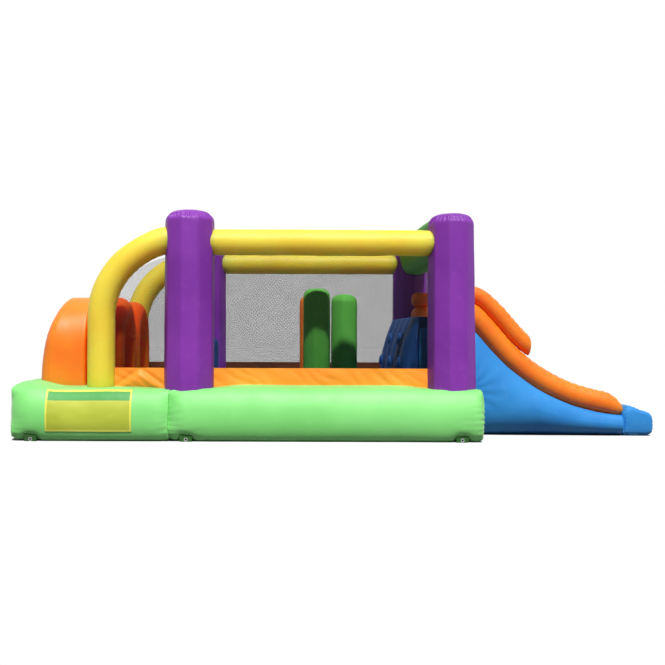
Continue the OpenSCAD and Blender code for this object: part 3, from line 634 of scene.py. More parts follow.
def make_column(name, x, side, sink, foot_r, top_r, lean, seed):
    y = -COLUMN_Y * side
    angle = round_angles(240)
    neck = COLUMN_TOP - CAP_H - sink
    seam_z = neck + 0.45 * CAP_H
    body = np.concatenate([np.linspace(0.40, neck - 0.1, 70)[:-1], np.linspace(neck - 0.1, neck, 12)])
    turn = np.radians(np.linspace(3, 88.5, 26))
    zs = np.concatenate([body, neck + CAP_H * np.sin(turn)])
    rs = np.concatenate([foot_r + (top_r - foot_r) * (body - BASE_H) / (neck - BASE_H),
                         top_r * np.cos(turn) ** 0.6])
    facing = angle + math.pi / 2 * side
    R = rs[:, None] * faceted(facing, COLUMN_GORES, GORE_START, 0.75)[None]
    px, py = x + R * np.cos(angle), y + R * np.sin(angle)
    foot = base_height(py) - SEAT_DROP
    pz = np.where(zs[:, None] < 0.62, foot + (zs[:, None] - 0.40) * (0.62 - foot) / 0.22, zs[:, None])
    px = px + lean * (pz - BASE_H) / (neck - BASE_H)
    P = xyz(px, py, pz)
    def relief(P, U, V, length, girth):
        top = pucker(P, np.abs(P[..., 2] - seam_z), V, girth / round(girth / 0.042), 0.012, 0.04, seed)
        foot_ridges = pucker(P, P[..., 2] - BASE_H, V, girth / round(girth / 0.06), 0.002, 0.06, seed + 5)
        return dents(P, 0.3, 0.0022, seed + 9) + top + foot_ridges
    gore = lambda v: (v / v[-1] * TAU - GORE_START) / (TAU / COLUMN_GORES)
    skin(name, P, relief, PURPLE, "purple_fabric", gore)


# Beams, arches and the cross tube: tubes that end against a column

def saddle(offset):
    """Distance of a column's surface from its axis, at an offset across it."""
    r = COLUMN_TOP_R + 0.001
    return np.sqrt(np.maximum(r * r - offset * offset, 0.01))


def tube_relief(ends, girth_pitch, depth, reach, seed):
    """Dents, and puckers at the ends of a tube; ends holds which ends pucker."""
    def relief(P, U, V, length, girth):
        pitch = girth / round(girth / girth_pitch)
        total = dents(P, 0.22, 0.0022, seed)
        if ends[0]:
            total = total + pucker(P, U, V, pitch, depth, reach, seed + 3)
        if ends[1]:
            total = total + pucker(P, length - U, V, pitch, depth, reach, seed + 4)
        return total
    return relief


def gores_of(count, start=0.0):
    return lambda v: v / v[-1] * count + start


def make_beam(name, side, seed):
    a = round_angles(72)
    oy, oz = BEAM_R * np.sin(a), BEAM_R * np.cos(a)
    t = np.linspace(0, 1, 110)[:, None]
    x0, x1 = LEFT_COLUMN_X + saddle(oy), RIGHT_COLUMN_X - saddle(oy)
    X = x0 + (x1 - x0) * t
    P = xyz(X, -COLUMN_Y * side + oy, BEAM_Z + oz)
    relief = tube_relief((True, True), 0.034, 0.0035, 0.06, seed)
    skin(name, P, relief, YELLOW, "yellow_fabric", gores_of(3, 0.45))


def make_arch(name, side, seed):
    a = round_angles(72)
    across, out = ARCH_R * np.sin(a), ARCH_R * np.cos(a)
    centre_x, centre_z = ARCH_LEG_X + ARCH_BEND_R, BEAM_Z - ARCH_BEND_R
    y = -COLUMN_Y * side + across
    foot = base_height(y) - 0.5 * SEAT_DROP
    t = np.linspace(0, 1, 34)[:-1, None]
    leg = xyz(ARCH_LEG_X - out, y, foot + (centre_z - foot) * t)
    end = np.arccos(np.clip((LEFT_COLUMN_X - saddle(across) - centre_x) / (ARCH_BEND_R + out), -1, 1))
    bend = math.pi + (end - math.pi) * np.linspace(0, 1, 56)[:, None]
    radius = ARCH_BEND_R + out
    turn = xyz(centre_x + radius * np.cos(bend), y, centre_z + radius * np.sin(bend))
    ends = tube_relief((True, True), 0.036, 0.0035, 0.06, seed)
    def relief(P, U, V, length, girth):
        inner = smooth(0.0, -1.0, np.broadcast_to(out / ARCH_R, U.shape)) * smooth(0.75, 1.1, P[..., 2])
        creases = 0.0016 * np.sin(TAU * U / 0.085 + 2 * noise(P, 0.2, seed + 6)) * inner
        return ends(P, U, V, length, girth) + creases
    P = np.concatenate([leg, turn])
    P[..., 2] += ARCH_RISE * smooth(centre_x - 0.45, centre_x - 0.1, P[..., 0]) * smooth(1.1, 1.4, P[..., 2])
    skin(name, P, relief, YELLOW, "yellow_fabric", gores_of(4, 0.5))


def make_cross_tube():
    count = 84
    a = round_angles(count)
    section = np.stack([CROSS_HALF_W * np.sign(np.sin(a)) * np.abs(np.sin(a)) ** CROSS_SQUARE,
                        CROSS_HALF_H * np.sign(np.cos(a)) * np.abs(np.cos(a)) ** CROSS_SQUARE], axis=1)
    section = resample(section, count=count, closed=True)
    oz = section[:, 1]
    ox = CROSS_X - RIGHT_COLUMN_X + section[:, 0] - CROSS_LEAN * oz / CROSS_HALF_H
    t = np.linspace(-1, 1, 100)[:, None]
    Y = t * (COLUMN_Y - saddle(ox))
    P = xyz(RIGHT_COLUMN_X + ox, Y, CROSS_Z + oz)
    relief = tube_relief((True, True), 0.04, 0.004, 0.07, 71)
    skin("cross_tube", P, relief, LEAF, "leaf_fabric", gores_of(4, 0.5))


# Fabric walls and nets

TUCK = 0.03
WALL_X = (LEFT_COLUMN_X + COLUMN_R - TUCK, RIGHT_COLUMN_X - COLUMN_R + TUCK)
ENTRY_WALL_X = (ARCH_LEG_X + ARCH_R - TUCK, LEFT_COLUMN_X - COLUMN_R + TUCK)


def make_wall(name, span, side, seed):
    x0, x1 = span
    y = -COLUMN_Y * side
    z0 = BASE_H - 0.004
    columns, rows = int((x1 - x0) / 0.011), 20
    u, v = np.meshgrid(np.linspace(0, 1, columns), np.linspace(0, 1, rows), indexing="ij")
    P = xyz(x0 + (x1 - x0) * u, y, z0 + (WALL_TOP - z0) * v)
    s = (x1 - x0) * u
    slack = np.sin(math.pi * v) ** 0.8
    lean = s / 0.17 + 1.1 * v + 0.7 * noise(P, 0.22, seed)
    fold = 0.006 * np.abs(np.sin(math.pi * lean)) - 0.003
    slant = xyz(s + 0.8 * P[..., 2], P[..., 2] * 0.3, s * 0)
    cross = 0.004 * noise(slant, 0.07, seed + 1)
    P[..., 1] += -side * (fold + cross) * slack
    P[..., 1] += -side * 0.004 * noise(P, 0.3, seed + 2) * slack
    if span == ENTRY_WALL_X:
        tent = np.abs(u - 0.5) / 0.45 + v - 1
        P[..., 1] += -side * (0.03 * smooth(0.3, -0.4, tent) - 0.02 * np.exp(-(tent / 0.16) ** 2)) * slack
    inner = P + np.array([0, side * 0.003, 0])
    # The inner face, 3 mm behind the outer one, is painted dark brown as shade on the wall's inside.
    obj = build(name + "_cloth", [Patch(P), Patch(inner, material=1)], AMBER, WALL_BACK_PAINTED_SHADE)
    put(obj, "house", "orange_fabric", name)


NET_PITCH, NET_CORD = 0.0066, 0.00145
NET_Z0, NET_Z1 = WALL_TOP, BEAM_Z - BEAM_R
NET_SHARE, NET_STEP, NET_LAYER = 0.5, 0.004, 0.0012


def net_region(span, arched):
    x0, x1 = span
    if not arched:
        return lambda x, z: (x >= x0) & (x <= x1) & (z >= NET_Z0) & (z <= NET_Z1)
    centre_x, centre_z, r = ARCH_LEG_X + ARCH_BEND_R, BEAM_Z - ARCH_BEND_R, ARCH_BEND_R - ARCH_R
    return lambda x, z: ((x >= x0) & (x <= x1) & (z >= NET_Z0)
                         & (np.hypot(x - centre_x, np.maximum(z - centre_z, 0)) <= r))


def cord_patch(line, radius):
    """A thin four-sided cord along points in a plane of constant Y."""
    d = np.gradient(line, axis=0)
    d /= np.linalg.norm(d, axis=1, keepdims=True)
    n = xyz(-d[:, 2], 0.0, d[:, 0]) * radius
    b = np.broadcast_to(np.array([0.0, 0.6 * radius, 0.0]), n.shape)
    return Patch(np.stack([line + k for k in (n, b, -n, -b)], axis=1), True, True)


def make_net(name, span, arched, side, seed):
    inside = net_region(span, arched)
    y = -COLUMN_Y * side
    x0, x1 = span
    reach = (x1 - x0) + (NET_Z1 - NET_Z0)
    t = np.arange(0, reach * 1.5, NET_STEP)
    patches = []
    for slant in (1, -1):
        start_x = x0 if slant > 0 else x1
        for k in np.arange(-reach, reach, NET_PITCH * math.sqrt(2)):
            x = start_x + slant * t / math.sqrt(2)
            z = NET_Z0 + k + t / math.sqrt(2)
            keep = inside(x, z)
            if keep.sum() < 4:
                continue
            x, z = x[keep], z[keep]
            line = xyz(x, y + slant * NET_LAYER, z)
            line = resample(line, count=max(3, int(len(x) * NET_STEP / 0.2)))
            line[:, 1] += 0.003 * noise(line, 0.5, seed)
            patches.append(cord_patch(line, NET_CORD / 2))
    obj = build(name + "_mesh", patches, NET)
    put(obj, "house", "net_mesh", name)
    grid_x, grid_z = np.meshgrid(np.linspace(x0, x1, 200), np.linspace(NET_Z0, NET_Z1, 200))
    share = float(inside(grid_x, grid_z).mean())


# Crawl tunnels: two orange hoops side by side

HOOP_L, HOOP_T, TUNNEL_HOLE, TUNNEL_LEG = 0.398, 0.235, 0.5, 0.375
HOOP_BEND = (TUNNEL_HOLE + HOOP_T) / 2
TUNNEL_Y = TUNNEL_HOLE / 2 + HOOP_T + GAP / 2
TUNNEL_X = X_LEFT + 0.13
HOOP_SHIFT, SEAM_ROUND, HOOP_LEAN = 0.05, 0.02, 0.17


def make_hoop(name, side, place, seed):
    seam_x, springline = TUNNEL_X + HOOP_L + HOOP_SHIFT, BASE_H + TUNNEL_LEG
    x0, x1 = (TUNNEL_X, seam_x) if place == 0 else (seam_x + GAP, TUNNEL_X + 2 * HOOP_L + GAP)
    length, centre_x = x1 - x0, (x0 + x1) / 2
    a = np.radians(np.arange(0, 360, 5.0))
    left, right = (HOOP_T / 2, SEAM_ROUND) if place == 0 else (SEAM_ROUND, HOOP_T / 2)
    sine = np.round(np.sin(a), 9)
    along_x = np.where(sine > 0, length / 2 - right + right * sine, -length / 2 + left + left * sine)
    along_x = np.where(sine == 0, (left - right) / 2, along_x)
    out = HOOP_T / 2 * np.cos(a)
    section = resample(np.stack([along_x, out], axis=1), count=84, closed=True)
    along_x, out = section[:, 0], section[:, 1]
    up = np.linspace(BASE_H - 0.012, springline, 19)[:-1]
    bend = np.radians(np.linspace(180, 0, 73))
    rows = []
    for z in up:
        rows.append((-(HOOP_BEND + out), np.full_like(out, z)))
    for t in bend:
        rows.append(((HOOP_BEND + out) * math.cos(t), springline + (HOOP_BEND + out) * math.sin(t)))
    for z in up[::-1]:
        rows.append((HOOP_BEND + out, np.full_like(out, z)))
    P = np.stack([xyz(centre_x + along_x, -TUNNEL_Y * side + y, z) for y, z in rows])
    if place == 0:
        rise = np.clip((P[..., 2] - BASE_H) / (springline + HOOP_BEND + HOOP_T / 2 - BASE_H), 0, 1)
        P[..., 0] += HOOP_LEAN * rise ** 2 * (x1 - P[..., 0]) / length
    def relief(P, U, V, length, girth):
        face = np.broadcast_to(out / (HOOP_T / 2), U.shape)
        seam = np.abs(np.abs(np.broadcast_to(along_x, U.shape)) - length / 2)
        curved = smooth(springline - 0.1, springline + 0.15, P[..., 2])
        inner = 0.005 * smooth(0.2, -0.9, face) * np.sin(TAU * U / 0.07 + 2.5 * noise(P, 0.15, seed)) * curved
        ridges = pucker(P, seam, U, 0.045, 0.004, 0.06, seed + 2)
        foot = pucker(P, P[..., 2] - BASE_H, V, girth / round(girth / 0.05), 0.003, 0.06, seed + 4)
        return dents(P, 0.25, 0.0045, seed + 6) + inner + ridges + foot - 0.002
    # The inner hoops take the redder, darker orange copy as painted shade inside the tunnel.
    skin(name, P, relief, ORANGE_PAINTED_SHADE if place else ORANGE, "orange_fabric")


# Pop-up posts

def make_post(name, x, y, top, material, slot, seed):
    angle = round_angles(72)
    low = np.radians(np.linspace(-84, -4, 14))
    body = np.linspace(POST_PIVOT_Z, top - 0.085, int((top - 0.57) / 0.02))
    crown = np.radians(np.linspace(4, 86, 14))
    zs = np.concatenate([POST_PIVOT_Z + POST_R * np.sin(low), body, top - 0.085 + 0.083 * np.sin(crown)])
    rs = np.concatenate([POST_R * np.cos(low), np.full(len(body), POST_R), POST_R * np.cos(crown) ** 0.7])
    rs = rs * (1 - 0.012 * (1 - smooth(0.5, 0.62, zs)) * smooth(0.44, 0.5, zs))
    R = rs[:, None] * faceted(angle, 6, 0.3, 0.35)[None]
    P = xyz(x + R * np.cos(angle), y + R * np.sin(angle), zs[:, None])
    def relief(P, U, V, length, girth):
        away = np.abs(P[..., 2] - (top - 0.05))
        ridges = pucker(P, away, V, girth / round(girth / 0.032), 0.004, 0.045, seed)
        return (dents(P, 0.2, 0.002, seed + 4) + ridges) * smooth(0.46, 0.52, P[..., 2]) - 0.001
    skin(name, P, relief, material, slot, gores_of(6, 0.2), body=name)


# The climbing wall and its holds

CLIMB_TOP, CLIMB_FOOT, CLIMB_HEAD, CLIMB_LIP, CLIMB_LOBES = 1.14, 0.185, 0.04, 0.1, 5
CLIMB_BACK_X, CLIMB_FOOT_Z = X_PLATFORM - GAP, FLOOR_Z + GAP
CLIMB_RISE = CLIMB_TOP - CLIMB_FOOT_Z
CLIMB_LEAN = math.atan((CLIMB_FOOT - CLIMB_HEAD) / CLIMB_RISE)
LOBE_W = 2 * SLIDE_Y / CLIMB_LOBES


def make_climbing_wall():
    x_foot, x_head = CLIMB_BACK_X - CLIMB_FOOT, CLIMB_BACK_X - CLIMB_HEAD
    front = np.linspace(0, 1, 44)
    bulge = 0.045 * np.sin(math.pi * front) ** 0.9
    face = np.stack([x_foot + (x_head - x_foot) * front - bulge * math.cos(CLIMB_LEAN),
                     CLIMB_FOOT_Z + CLIMB_RISE * front + 0.3 * bulge], axis=1)
    lip_x, lip_z = CLIMB_BACK_X + CLIMB_LIP, PLATFORM_Z + 0.003
    top = np.stack([np.linspace(x_head, lip_x, 8)[1:-1], np.full(6, CLIMB_TOP)], axis=1)
    back = np.concatenate([
        np.stack([np.full(5, lip_x), np.linspace(CLIMB_TOP - 0.01, lip_z, 5)], axis=1),
        np.stack([np.linspace(lip_x, CLIMB_BACK_X, 6)[1:], np.full(5, lip_z)], axis=1),
        np.stack([np.full(20, CLIMB_BACK_X), np.linspace(lip_z, CLIMB_FOOT_Z, 21)[1:]], axis=1),
    ])
    bottom = np.stack([np.linspace(CLIMB_BACK_X, x_foot, 12)[1:-1], np.full(10, CLIMB_FOOT_Z)], axis=1)
    ring = np.concatenate([face, top, back, bottom])
    fullness = np.sin(math.pi * np.clip(front, 0.06, 0.97)) ** 0.35
    is_face = np.concatenate([fullness, np.full(len(top), 0.5), np.zeros(len(back) + len(bottom))])
    ys = np.linspace(-SLIDE_Y, SLIDE_Y, 150)
    lobe = np.mod((ys + SLIDE_Y) / LOBE_W, 1)
    groove = 0.06 * np.abs(2 * lobe - 1) ** 2.6
    edge = 0.10 * (1 - np.sqrt(np.clip(1 - ((np.abs(ys) - SLIDE_Y + 0.08) / 0.085).clip(0) ** 2, 0, 1)))
    inset = np.maximum(groove, edge)[:, None] * is_face[None]
    P = xyz(ring[None, :, 0] + inset * math.cos(CLIMB_LEAN), ys[:, None],
            ring[None, :, 1] - inset * math.sin(CLIMB_LEAN))
    def relief(P, U, V, length, girth):
        seam = np.abs(np.mod((P[..., 1] + SLIDE_Y) / LOBE_W + 0.5, 1) - 0.5) * LOBE_W
        ridges = pucker(P, seam, P[..., 2], 0.05, 0.004, 0.05, 301)
        return (dents(P, 0.25, 0.004, 303) + ridges) * np.broadcast_to(is_face, U.shape)
    # The wall is drawn in the darker blue copy, as painted shade.
    skin("climbing_wall", P, relief, BLUE_PAINTED_SHADE, "blue_fabric")


HOLD_R, HOLD_ROWS = 0.062, (0.35, 0.68)


def make_holds():
    slant = CLIMB_RISE / math.cos(CLIMB_LEAN)
    up = np.array([math.sin(CLIMB_LEAN), 0, math.cos(CLIMB_LEAN)])
    out = np.array([-math.cos(CLIMB_LEAN), 0, math.sin(CLIMB_LEAN)])
    across = np.array([0.0, 1.0, 0.0])
    profile = curve([(0.058, -0.012), (HOLD_R, 0.002), (0.061, 0.010), (0.054, 0.020), (0.042, 0.027),
                     (0.024, 0.030), (0.006, 0.029)], 0.004)
    a = round_angles(40)
    patches = []
    for lobe in range(CLIMB_LOBES):
        row = HOLD_ROWS[lobe % 2]
        lift = 0.04 * math.sin(math.pi * row) ** 0.9
        centre = np.array([CLIMB_BACK_X - CLIMB_FOOT, (lobe + 0.5) * LOBE_W - SLIDE_Y, CLIMB_FOOT_Z])
        centre = centre + up * slant * row + out * lift
        ring = np.cos(a)[:, None] * across + np.sin(a)[:, None] * up
        P = centre + profile[:, :1, None] * ring[None] + profile[:, 1:, None] * out
        def relief(P, U, V, length, girth):
            return pucker(P, np.abs(U - 0.03), V, girth / round(girth / 0.02), 0.0016, 0.02, 320 + lobe)
        patches.append(Patch(P, True, True, relief))
    # The holds are drawn in the darker blue copy, as painted shade.
    obj = build("climbing_hold_pads", patches, BLUE_PAINTED_SHADE)
    put(obj, "house", "blue_fabric", "climbing_holds")


# The slide: body, rails and bolster

PLATFORM_Z, CREST_X, CREST_R = 1.04, 1.151, 0.205
CREST_Z = PLATFORM_Z - CREST_R
SLOPE_A, FOOT_A, SLOPE_L, SWEEP_R = math.radians(49), math.radians(5), 0.192, 1.85
SWEEP_X = CREST_X + (CREST_R + SWEEP_R) * math.sin(SLOPE_A) + SLOPE_L * math.cos(SLOPE_A)
SWEEP_Z = CREST_Z + (CREST_R + SWEEP_R) * math.cos(SLOPE_A) - SLOPE_L * math.sin(SLOPE_A)
BOLSTER_X = X_RIGHT - 0.31
SLIDE_FOOT_X = X_END + GAP
WEB_Y = 2 * SLIDE_Y / 6
SLIDE_SWELL, BED_GROOVE = 0.085, 0.022
DROP_X0, DROP_X1 = 1.165, 1.218


def bed_line(lift, start, end):
    """Line above the slide's bed, as [x, z, heading], from a place on the platform down the sweep."""
    crest = -np.linspace(0, SLOPE_A, 40)
    sweep = -np.linspace(SLOPE_A, FOOT_A, 160)
    flat = np.linspace(start, CREST_X, 40)[:-1]
    line = np.concatenate([
        xyz(flat, PLATFORM_Z + lift, 0.0),
        xyz(CREST_X - (CREST_R + lift) * np.sin(crest), CREST_Z + (CREST_R + lift) * np.cos(crest), crest),
        xyz(SWEEP_X + (SWEEP_R - lift) * np.sin(sweep), SWEEP_Z - (SWEEP_R - lift) * np.cos(sweep), sweep),
    ])
    return line[line[:, 0] <= end]


def make_slide_body():
    top = bed_line(0, X_PLATFORM, 9)[:, :2]
    top = np.concatenate([top, [[BOLSTER_X - GAP, top[-1, 1] - 0.002]]])
    top = resample(top, 0.014)
    drop = smooth(DROP_X0, DROP_X1, top[:, 0])
    steep = (top[:, 0] > DROP_X0) & (top[:, 0] < DROP_X1)
    hold = SLIDE_FOOT_X + (top[:, 0] - SLIDE_FOOT_X) * np.where(steep, 0.1, 1)
    low = np.stack([hold, (BASE_H + GAP) * (1 - drop)], axis=1)
    rise = top - low
    height = np.linalg.norm(rise, axis=1)
    def loop(h):
        rb, rz, rt = min(0.12, 0.5 * h), min(0.26, 0.55 * h), min(0.03, 0.2 * h)
        q = lambda n, a0, a1: np.radians(np.linspace(a0, a1, n))
        b, t = q(9, -90, 0), q(7, 0, 90)
        bottom = np.stack([np.linspace(-SLIDE_Y + rb, SLIDE_Y - rb, 30), np.zeros(30)], axis=1)
        right = np.concatenate([
            np.stack([SLIDE_Y - rb + rb * np.cos(b), rz + rz * np.sin(b)], axis=1)[1:],
            np.stack([np.full(28, SLIDE_Y), np.linspace(rz, h - rt, 30)[1:-1]], axis=1),
            np.stack([SLIDE_Y - rt + rt * np.cos(t), h - rt + rt * np.sin(t)], axis=1)])
        over = np.stack([np.linspace(SLIDE_Y - rt, -SLIDE_Y + rt, 80), np.full(80, h)], axis=1)[1:-1]
        left = right[::-1] * np.array([-1, 1])
        return np.concatenate([bottom, right, over, left[:-1]])
    rows = []
    for foot, up, h in zip(low, rise, height):
        ring = loop(h)
        w = np.clip(ring[:, 1] / h, 0, 1)
        swell = SLIDE_SWELL * np.sin(math.pi * w) ** 0.8 * min(1, h / 0.45)
        y = ring[:, 0] + np.sign(ring[:, 0]) * swell * (np.abs(ring[:, 0]) > SLIDE_Y - 0.11)
        bed = smooth(0.97, 1.0, w) * (np.abs(ring[:, 0]) < SLIDE_Y - 0.05)
        groove = BED_GROOVE * np.exp(-((np.abs(ring[:, 0]) - WEB_Y) / 0.045) ** 2) * bed
        rows.append(xyz(foot[0] + up[0] * w, y, foot[1] + up[1] * w - groove))
    P = np.stack(rows)
    def relief(P, U, V, length, girth):
        corner = np.hypot(P[..., 0] - X_END, P[..., 2] - 0.42)
        angle = np.arctan2(P[..., 2] - 0.42, P[..., 0] - X_END + 0.02)
        rays = 0.004 * np.sin(15 * angle + 2 * noise(P, 0.3, 331)) * np.exp(-(corner / 0.28) ** 2)
        side = smooth(SLIDE_Y - 0.10, SLIDE_Y, np.abs(P[..., 1]))
        clear = smooth(0.0, 0.05, P[..., 2])
        return (dents(P, 0.33, 0.006, 333) * (0.4 + 0.6 * side) + rays * side) * clear - 0.002
    skin("slide_body", P, relief, BLUE, "blue_fabric")


def make_bolster():
    outline = [(BOLSTER_X + 0.004, 0.02), (BOLSTER_X + 0.001, 0.12), (BOLSTER_X + 0.012, 0.225),
               (2.752, 0.286), (2.815, 0.274), (2.885, 0.245), (2.945, 0.226), (2.985, 0.19),
               (2.998, 0.105), (2.988, 0.03), (2.94, 0.003), (2.85, 0.0), (2.76, 0.0)]
    S = curve(outline[::-1], 0.012, closed=True) - np.array([BOLSTER_X, 0])
    P = block(S, -SLIDE_Y - 0.01, SLIDE_Y + 0.01, (0.035, 0.022, 0.02), (0.035, 0.022, 0.02), 0.014)
    P = xyz(P[..., 1] + BOLSTER_X, P[..., 0], P[..., 2])
    def relief(P, U, V, length, girth):
        pitch = girth / round(girth / 0.04)
        away = SLIDE_Y - 0.03 - np.abs(P[..., 1])
        ends = pucker(P, away, V, pitch, 0.004, 0.07, 341) * smooth(-0.04, -0.01, away)
        return (dents(P, 0.2, 0.004, 343) + ends) * smooth(0.0, 0.03, P[..., 2]) - 0.002
    skin("slide_bolster", P, relief, BLUE, "blue_fabric")


LOWER_RAIL_R, UPPER_RAIL_R, RAIL_Y, RAIL_START = 0.104, 0.081, SLIDE_Y - 0.1, X_PLATFORM + 0.23
CREST_SWELL, UPPER_RAIL_END, LOWER_RAIL_END, RAIL_HEAD = 0.02, 1.845, 2.77, 0.06


def make_rail(name, side, upper, seed):
    r0 = UPPER_RAIL_R if upper else LOWER_RAIL_R
    end = UPPER_RAIL_END if upper else LOWER_RAIL_END
    line = bed_line(0, RAIL_START, end + 0.4)
    tail = line[-1] + np.linspace(0.01, 0.2, 12)[:, None] * np.array([math.cos(FOOT_A), -math.sin(FOOT_A), 0])
    line = np.concatenate([line, tail])
    line = resample(line, 0.013)
    s = np.concatenate([[0], np.cumsum(np.linalg.norm(np.diff(line[:, :2], axis=0), axis=1))])
    lift = 2 * LOWER_RAIL_R + r0 if upper else r0
    x_at = line[:, 0] - lift * np.sin(line[:, 2])
    keep = x_at <= end
    line, s = line[keep], s[keep]
    left = s[-1] - s
    swell = CREST_SWELL * smooth(1.30, 1.20, line[:, 0])
    if upper:
        r = r0 * np.sqrt(1 - np.clip(1 - left / 0.045, 0, 0.97) ** 2.4)
        lift = 2 * (LOWER_RAIL_R + swell) + r0 - 0.75 * (r0 - r)
        turn = smooth(0.16, 0.0, left)
    else:
        r = (r0 + swell) * (1 - np.clip(1 - left / 0.26, 0, 0.985) ** 2) ** 0.6
        lift = r
        turn = np.zeros(len(left))
    near = np.radians(np.linspace(88, 4, 10))
    x = line[:, 0] - lift * np.sin(line[:, 2])
    z = line[:, 1] + lift * np.cos(line[:, 2])
    x = np.concatenate([RAIL_START - RAIL_HEAD * np.sin(near), x])
    z = np.concatenate([np.full(10, z[0]), z])
    r = np.concatenate([r[0] * np.cos(near) ** 0.8, r])
    heading = np.concatenate([np.zeros(10), line[:, 2] * (1 - 0.85 * turn)])
    a = round_angles(48)
    out = np.cos(a) * r[:, None]
    P = xyz(x[:, None] - out * np.sin(heading)[:, None], -RAIL_Y * side + np.sin(a) * r[:, None],
            z[:, None] + out * np.cos(heading)[:, None])
    def relief(P, U, V, length, girth):
        pitch = girth / round(girth / 0.035)
        ends = pucker(P, np.abs(U - 0.09), V, pitch, 0.004, 0.05, seed)
        ends = ends + pucker(P, length - U, V, pitch, 0.004, 0.06, seed + 1)
        upper_side = smooth(0.2, 1, np.broadcast_to(np.cos(a), U.shape))
        folds = 0.0025 * np.sin(TAU * U / 0.075 + 3 * noise(P, 0.2, seed + 2)) * upper_side
        return dents(P, 0.2, 0.003, seed + 3) + ends + folds * smooth(1.3, 1.6, P[..., 0])
    skin(name, P, relief, ORANGE, "orange_fabric", gores_of(4, 0.5))


# Internal webs: sheets that hold the floor and the slide in shape

def make_webs():
    patches = []
    low, high, half = 0.006, FLOOR_Z - CHANNEL_DEPTH - 0.008, TUBE_INNER_Y - 0.046
    for i in range(1, FLOOR_CHANNELS):
        x = X_SEAM + i * CHANNEL_PITCH
        ys, zs = np.meshgrid(np.linspace(-half, half, 60), np.linspace(low, high, 14), indexing="ij")
        for px, py, _ in POSTS.values():
            if abs(px - x) < POST_R:
                reach = math.sqrt(POST_R ** 2 - (px - x) ** 2) + 0.012
                limit = POST_PIVOT_Z - np.sqrt(np.maximum(reach ** 2 - (ys - py) ** 2, 0)) - 0.01
                squeeze = np.where(np.abs(ys - py) < reach, np.minimum(limit, high), high)
                zs = low + (zs - low) * (squeeze - low) / (high - low)
        P = xyz(x, ys, zs)
        P[..., 0] += 0.0015 * noise(P, 0.12, 351 + i)
        patches.append(Patch(P))
    obj = build("floor_web_sheets", patches, BLUE)
    put(obj, "house", "blue_fabric", "floor_webs")
    top = bed_line(0, X_PLATFORM + 0.012, BOLSTER_X - 0.02)[:, :2]
    top = resample(top, 0.03) - np.array([0, 0.05])
    low = np.where(top[:, 0] < SLIDE_FOOT_X + 0.01, BASE_H + 0.008, 0.008)
    t = np.linspace(0, 1, 16)
    patches = []
    for y in (-WEB_Y, WEB_Y):
        P = xyz(top[:, :1], y, low[:, None] + (top[:, 1:] - low[:, None]) * t)
        P[..., 1] += 0.002 * noise(P, 0.15, 361)
        patches.append(Patch(P))
    obj = build("slide_web_sheets", patches, BLUE)
    put(obj, "house", "blue_fabric", "slide_webs")


# Small fittings

PATCH_X = ((X_LEFT + X_SEAM) / 2 - 0.3825, (X_LEFT + X_SEAM) / 2 + 0.3825)
PATCH_Z = (0.092, 0.452)
PATCH_BORDER, PATCH_HEADER, PATCH_FLAT = 0.016, 0.088, 0.44


def on_front(x, z):
    """Points on the front of the entry block, and the normals there."""
    middle = BASE_H - BASE_EDGE[1]
    reach = np.where(z > middle, BASE_EDGE[0], BASE_FOOT[0])
    drop = np.where(z > middle, BASE_EDGE[1], BASE_FOOT[1])
    t = (z - middle) / drop
    depth = np.sqrt(np.maximum(1 - t * t, 0))
    P = xyz(x, -(ENTRY_Y - reach) - reach * depth, z)
    n = xyz(0.0, -depth / reach, t / drop)
    return P, n / np.linalg.norm(n, axis=2, keepdims=True)


def make_patch():
    (x0, x1), (z0, z1) = PATCH_X, PATCH_Z
    def part(xa, xb, za, zb, lift, material):
        x, z = np.meshgrid(np.linspace(xa, xb, max(2, int((xb - xa) / 0.012))),
                           np.linspace(za, zb, max(2, int((zb - za) / 0.012))), indexing="ij")
        P, n = on_front(x, z)
        P = crown(P, ENTRY_CROWN)
        wave = dents(P, 0.42, 0.0045, 11) * smooth(0.0, 0.03, P[..., 2]) + 0.0012 * noise(P, 0.05, 371)
        return Patch(P + n * (wave + lift)[..., None], material=material)
    b, h = PATCH_BORDER, PATCH_HEADER
    patches = [
        part(x0, x1, z0, z1, 0.003, 0),
        part(x0 + b, x1 - b, z1 - h, z1 - b, 0.0038, 2),
        part(x0, x0 + b, z0, z1, 0.0045, 1), part(x1 - b, x1, z0, z1, 0.0045, 1),
        part(x0 + b, x1 - b, z0, z0 + b, 0.0045, 1), part(x0 + b, x1 - b, z1 - b, z1, 0.0045, 1),
    ]
    obj = build("blank_patch_sheet", patches, PATCH, PATCH_EDGE, PATCH_HEAD)
    put(obj, "house", "patch_fabric", "blank_patch")


INLET_X, INLET_Z, INLET_R, SLEEVE_L = X_END + 0.3, 0.21, 0.09, 0.22


def make_inlet():
    y0 = SLIDE_Y + GAP
    profile = curve([(0.1245, 0.001), (0.1242, 0.004), (0.11, 0.0045), (0.0975, 0.006), (0.0945, 0.02),
                     (0.0942, 0.05), (0.0955, 0.068), (0.0955, 0.08), (0.0938, 0.0895), (0.0912, 0.0895),
                     (0.0905, 0.08), (0.0904, 0.04), (0.0904, 0.0)], 0.004)
    a = round_angles(96)
    r, y = profile[:, :1], profile[:, 1:]
    gather = 0.0012 * np.sin(24 * a) * smooth(0.03, 0.07, y)
    r = r + np.maximum(gather, 0)
    P = xyz(INLET_X + r * np.cos(a), y0 + y, INLET_Z + r * np.sin(a))
    obj = build("inlet_collar_sleeve", [Patch(P, True)], BLUE)
    put(obj, "house", "blue_fabric", "inlet_collar")


ZIP_X, ZIP_Z, ZIP_L = X_END + 0.75, 0.13, 0.38
TOOTH_PITCH, TAPE_W, FLAP_FLAT = 0.006, 0.036, 0.125


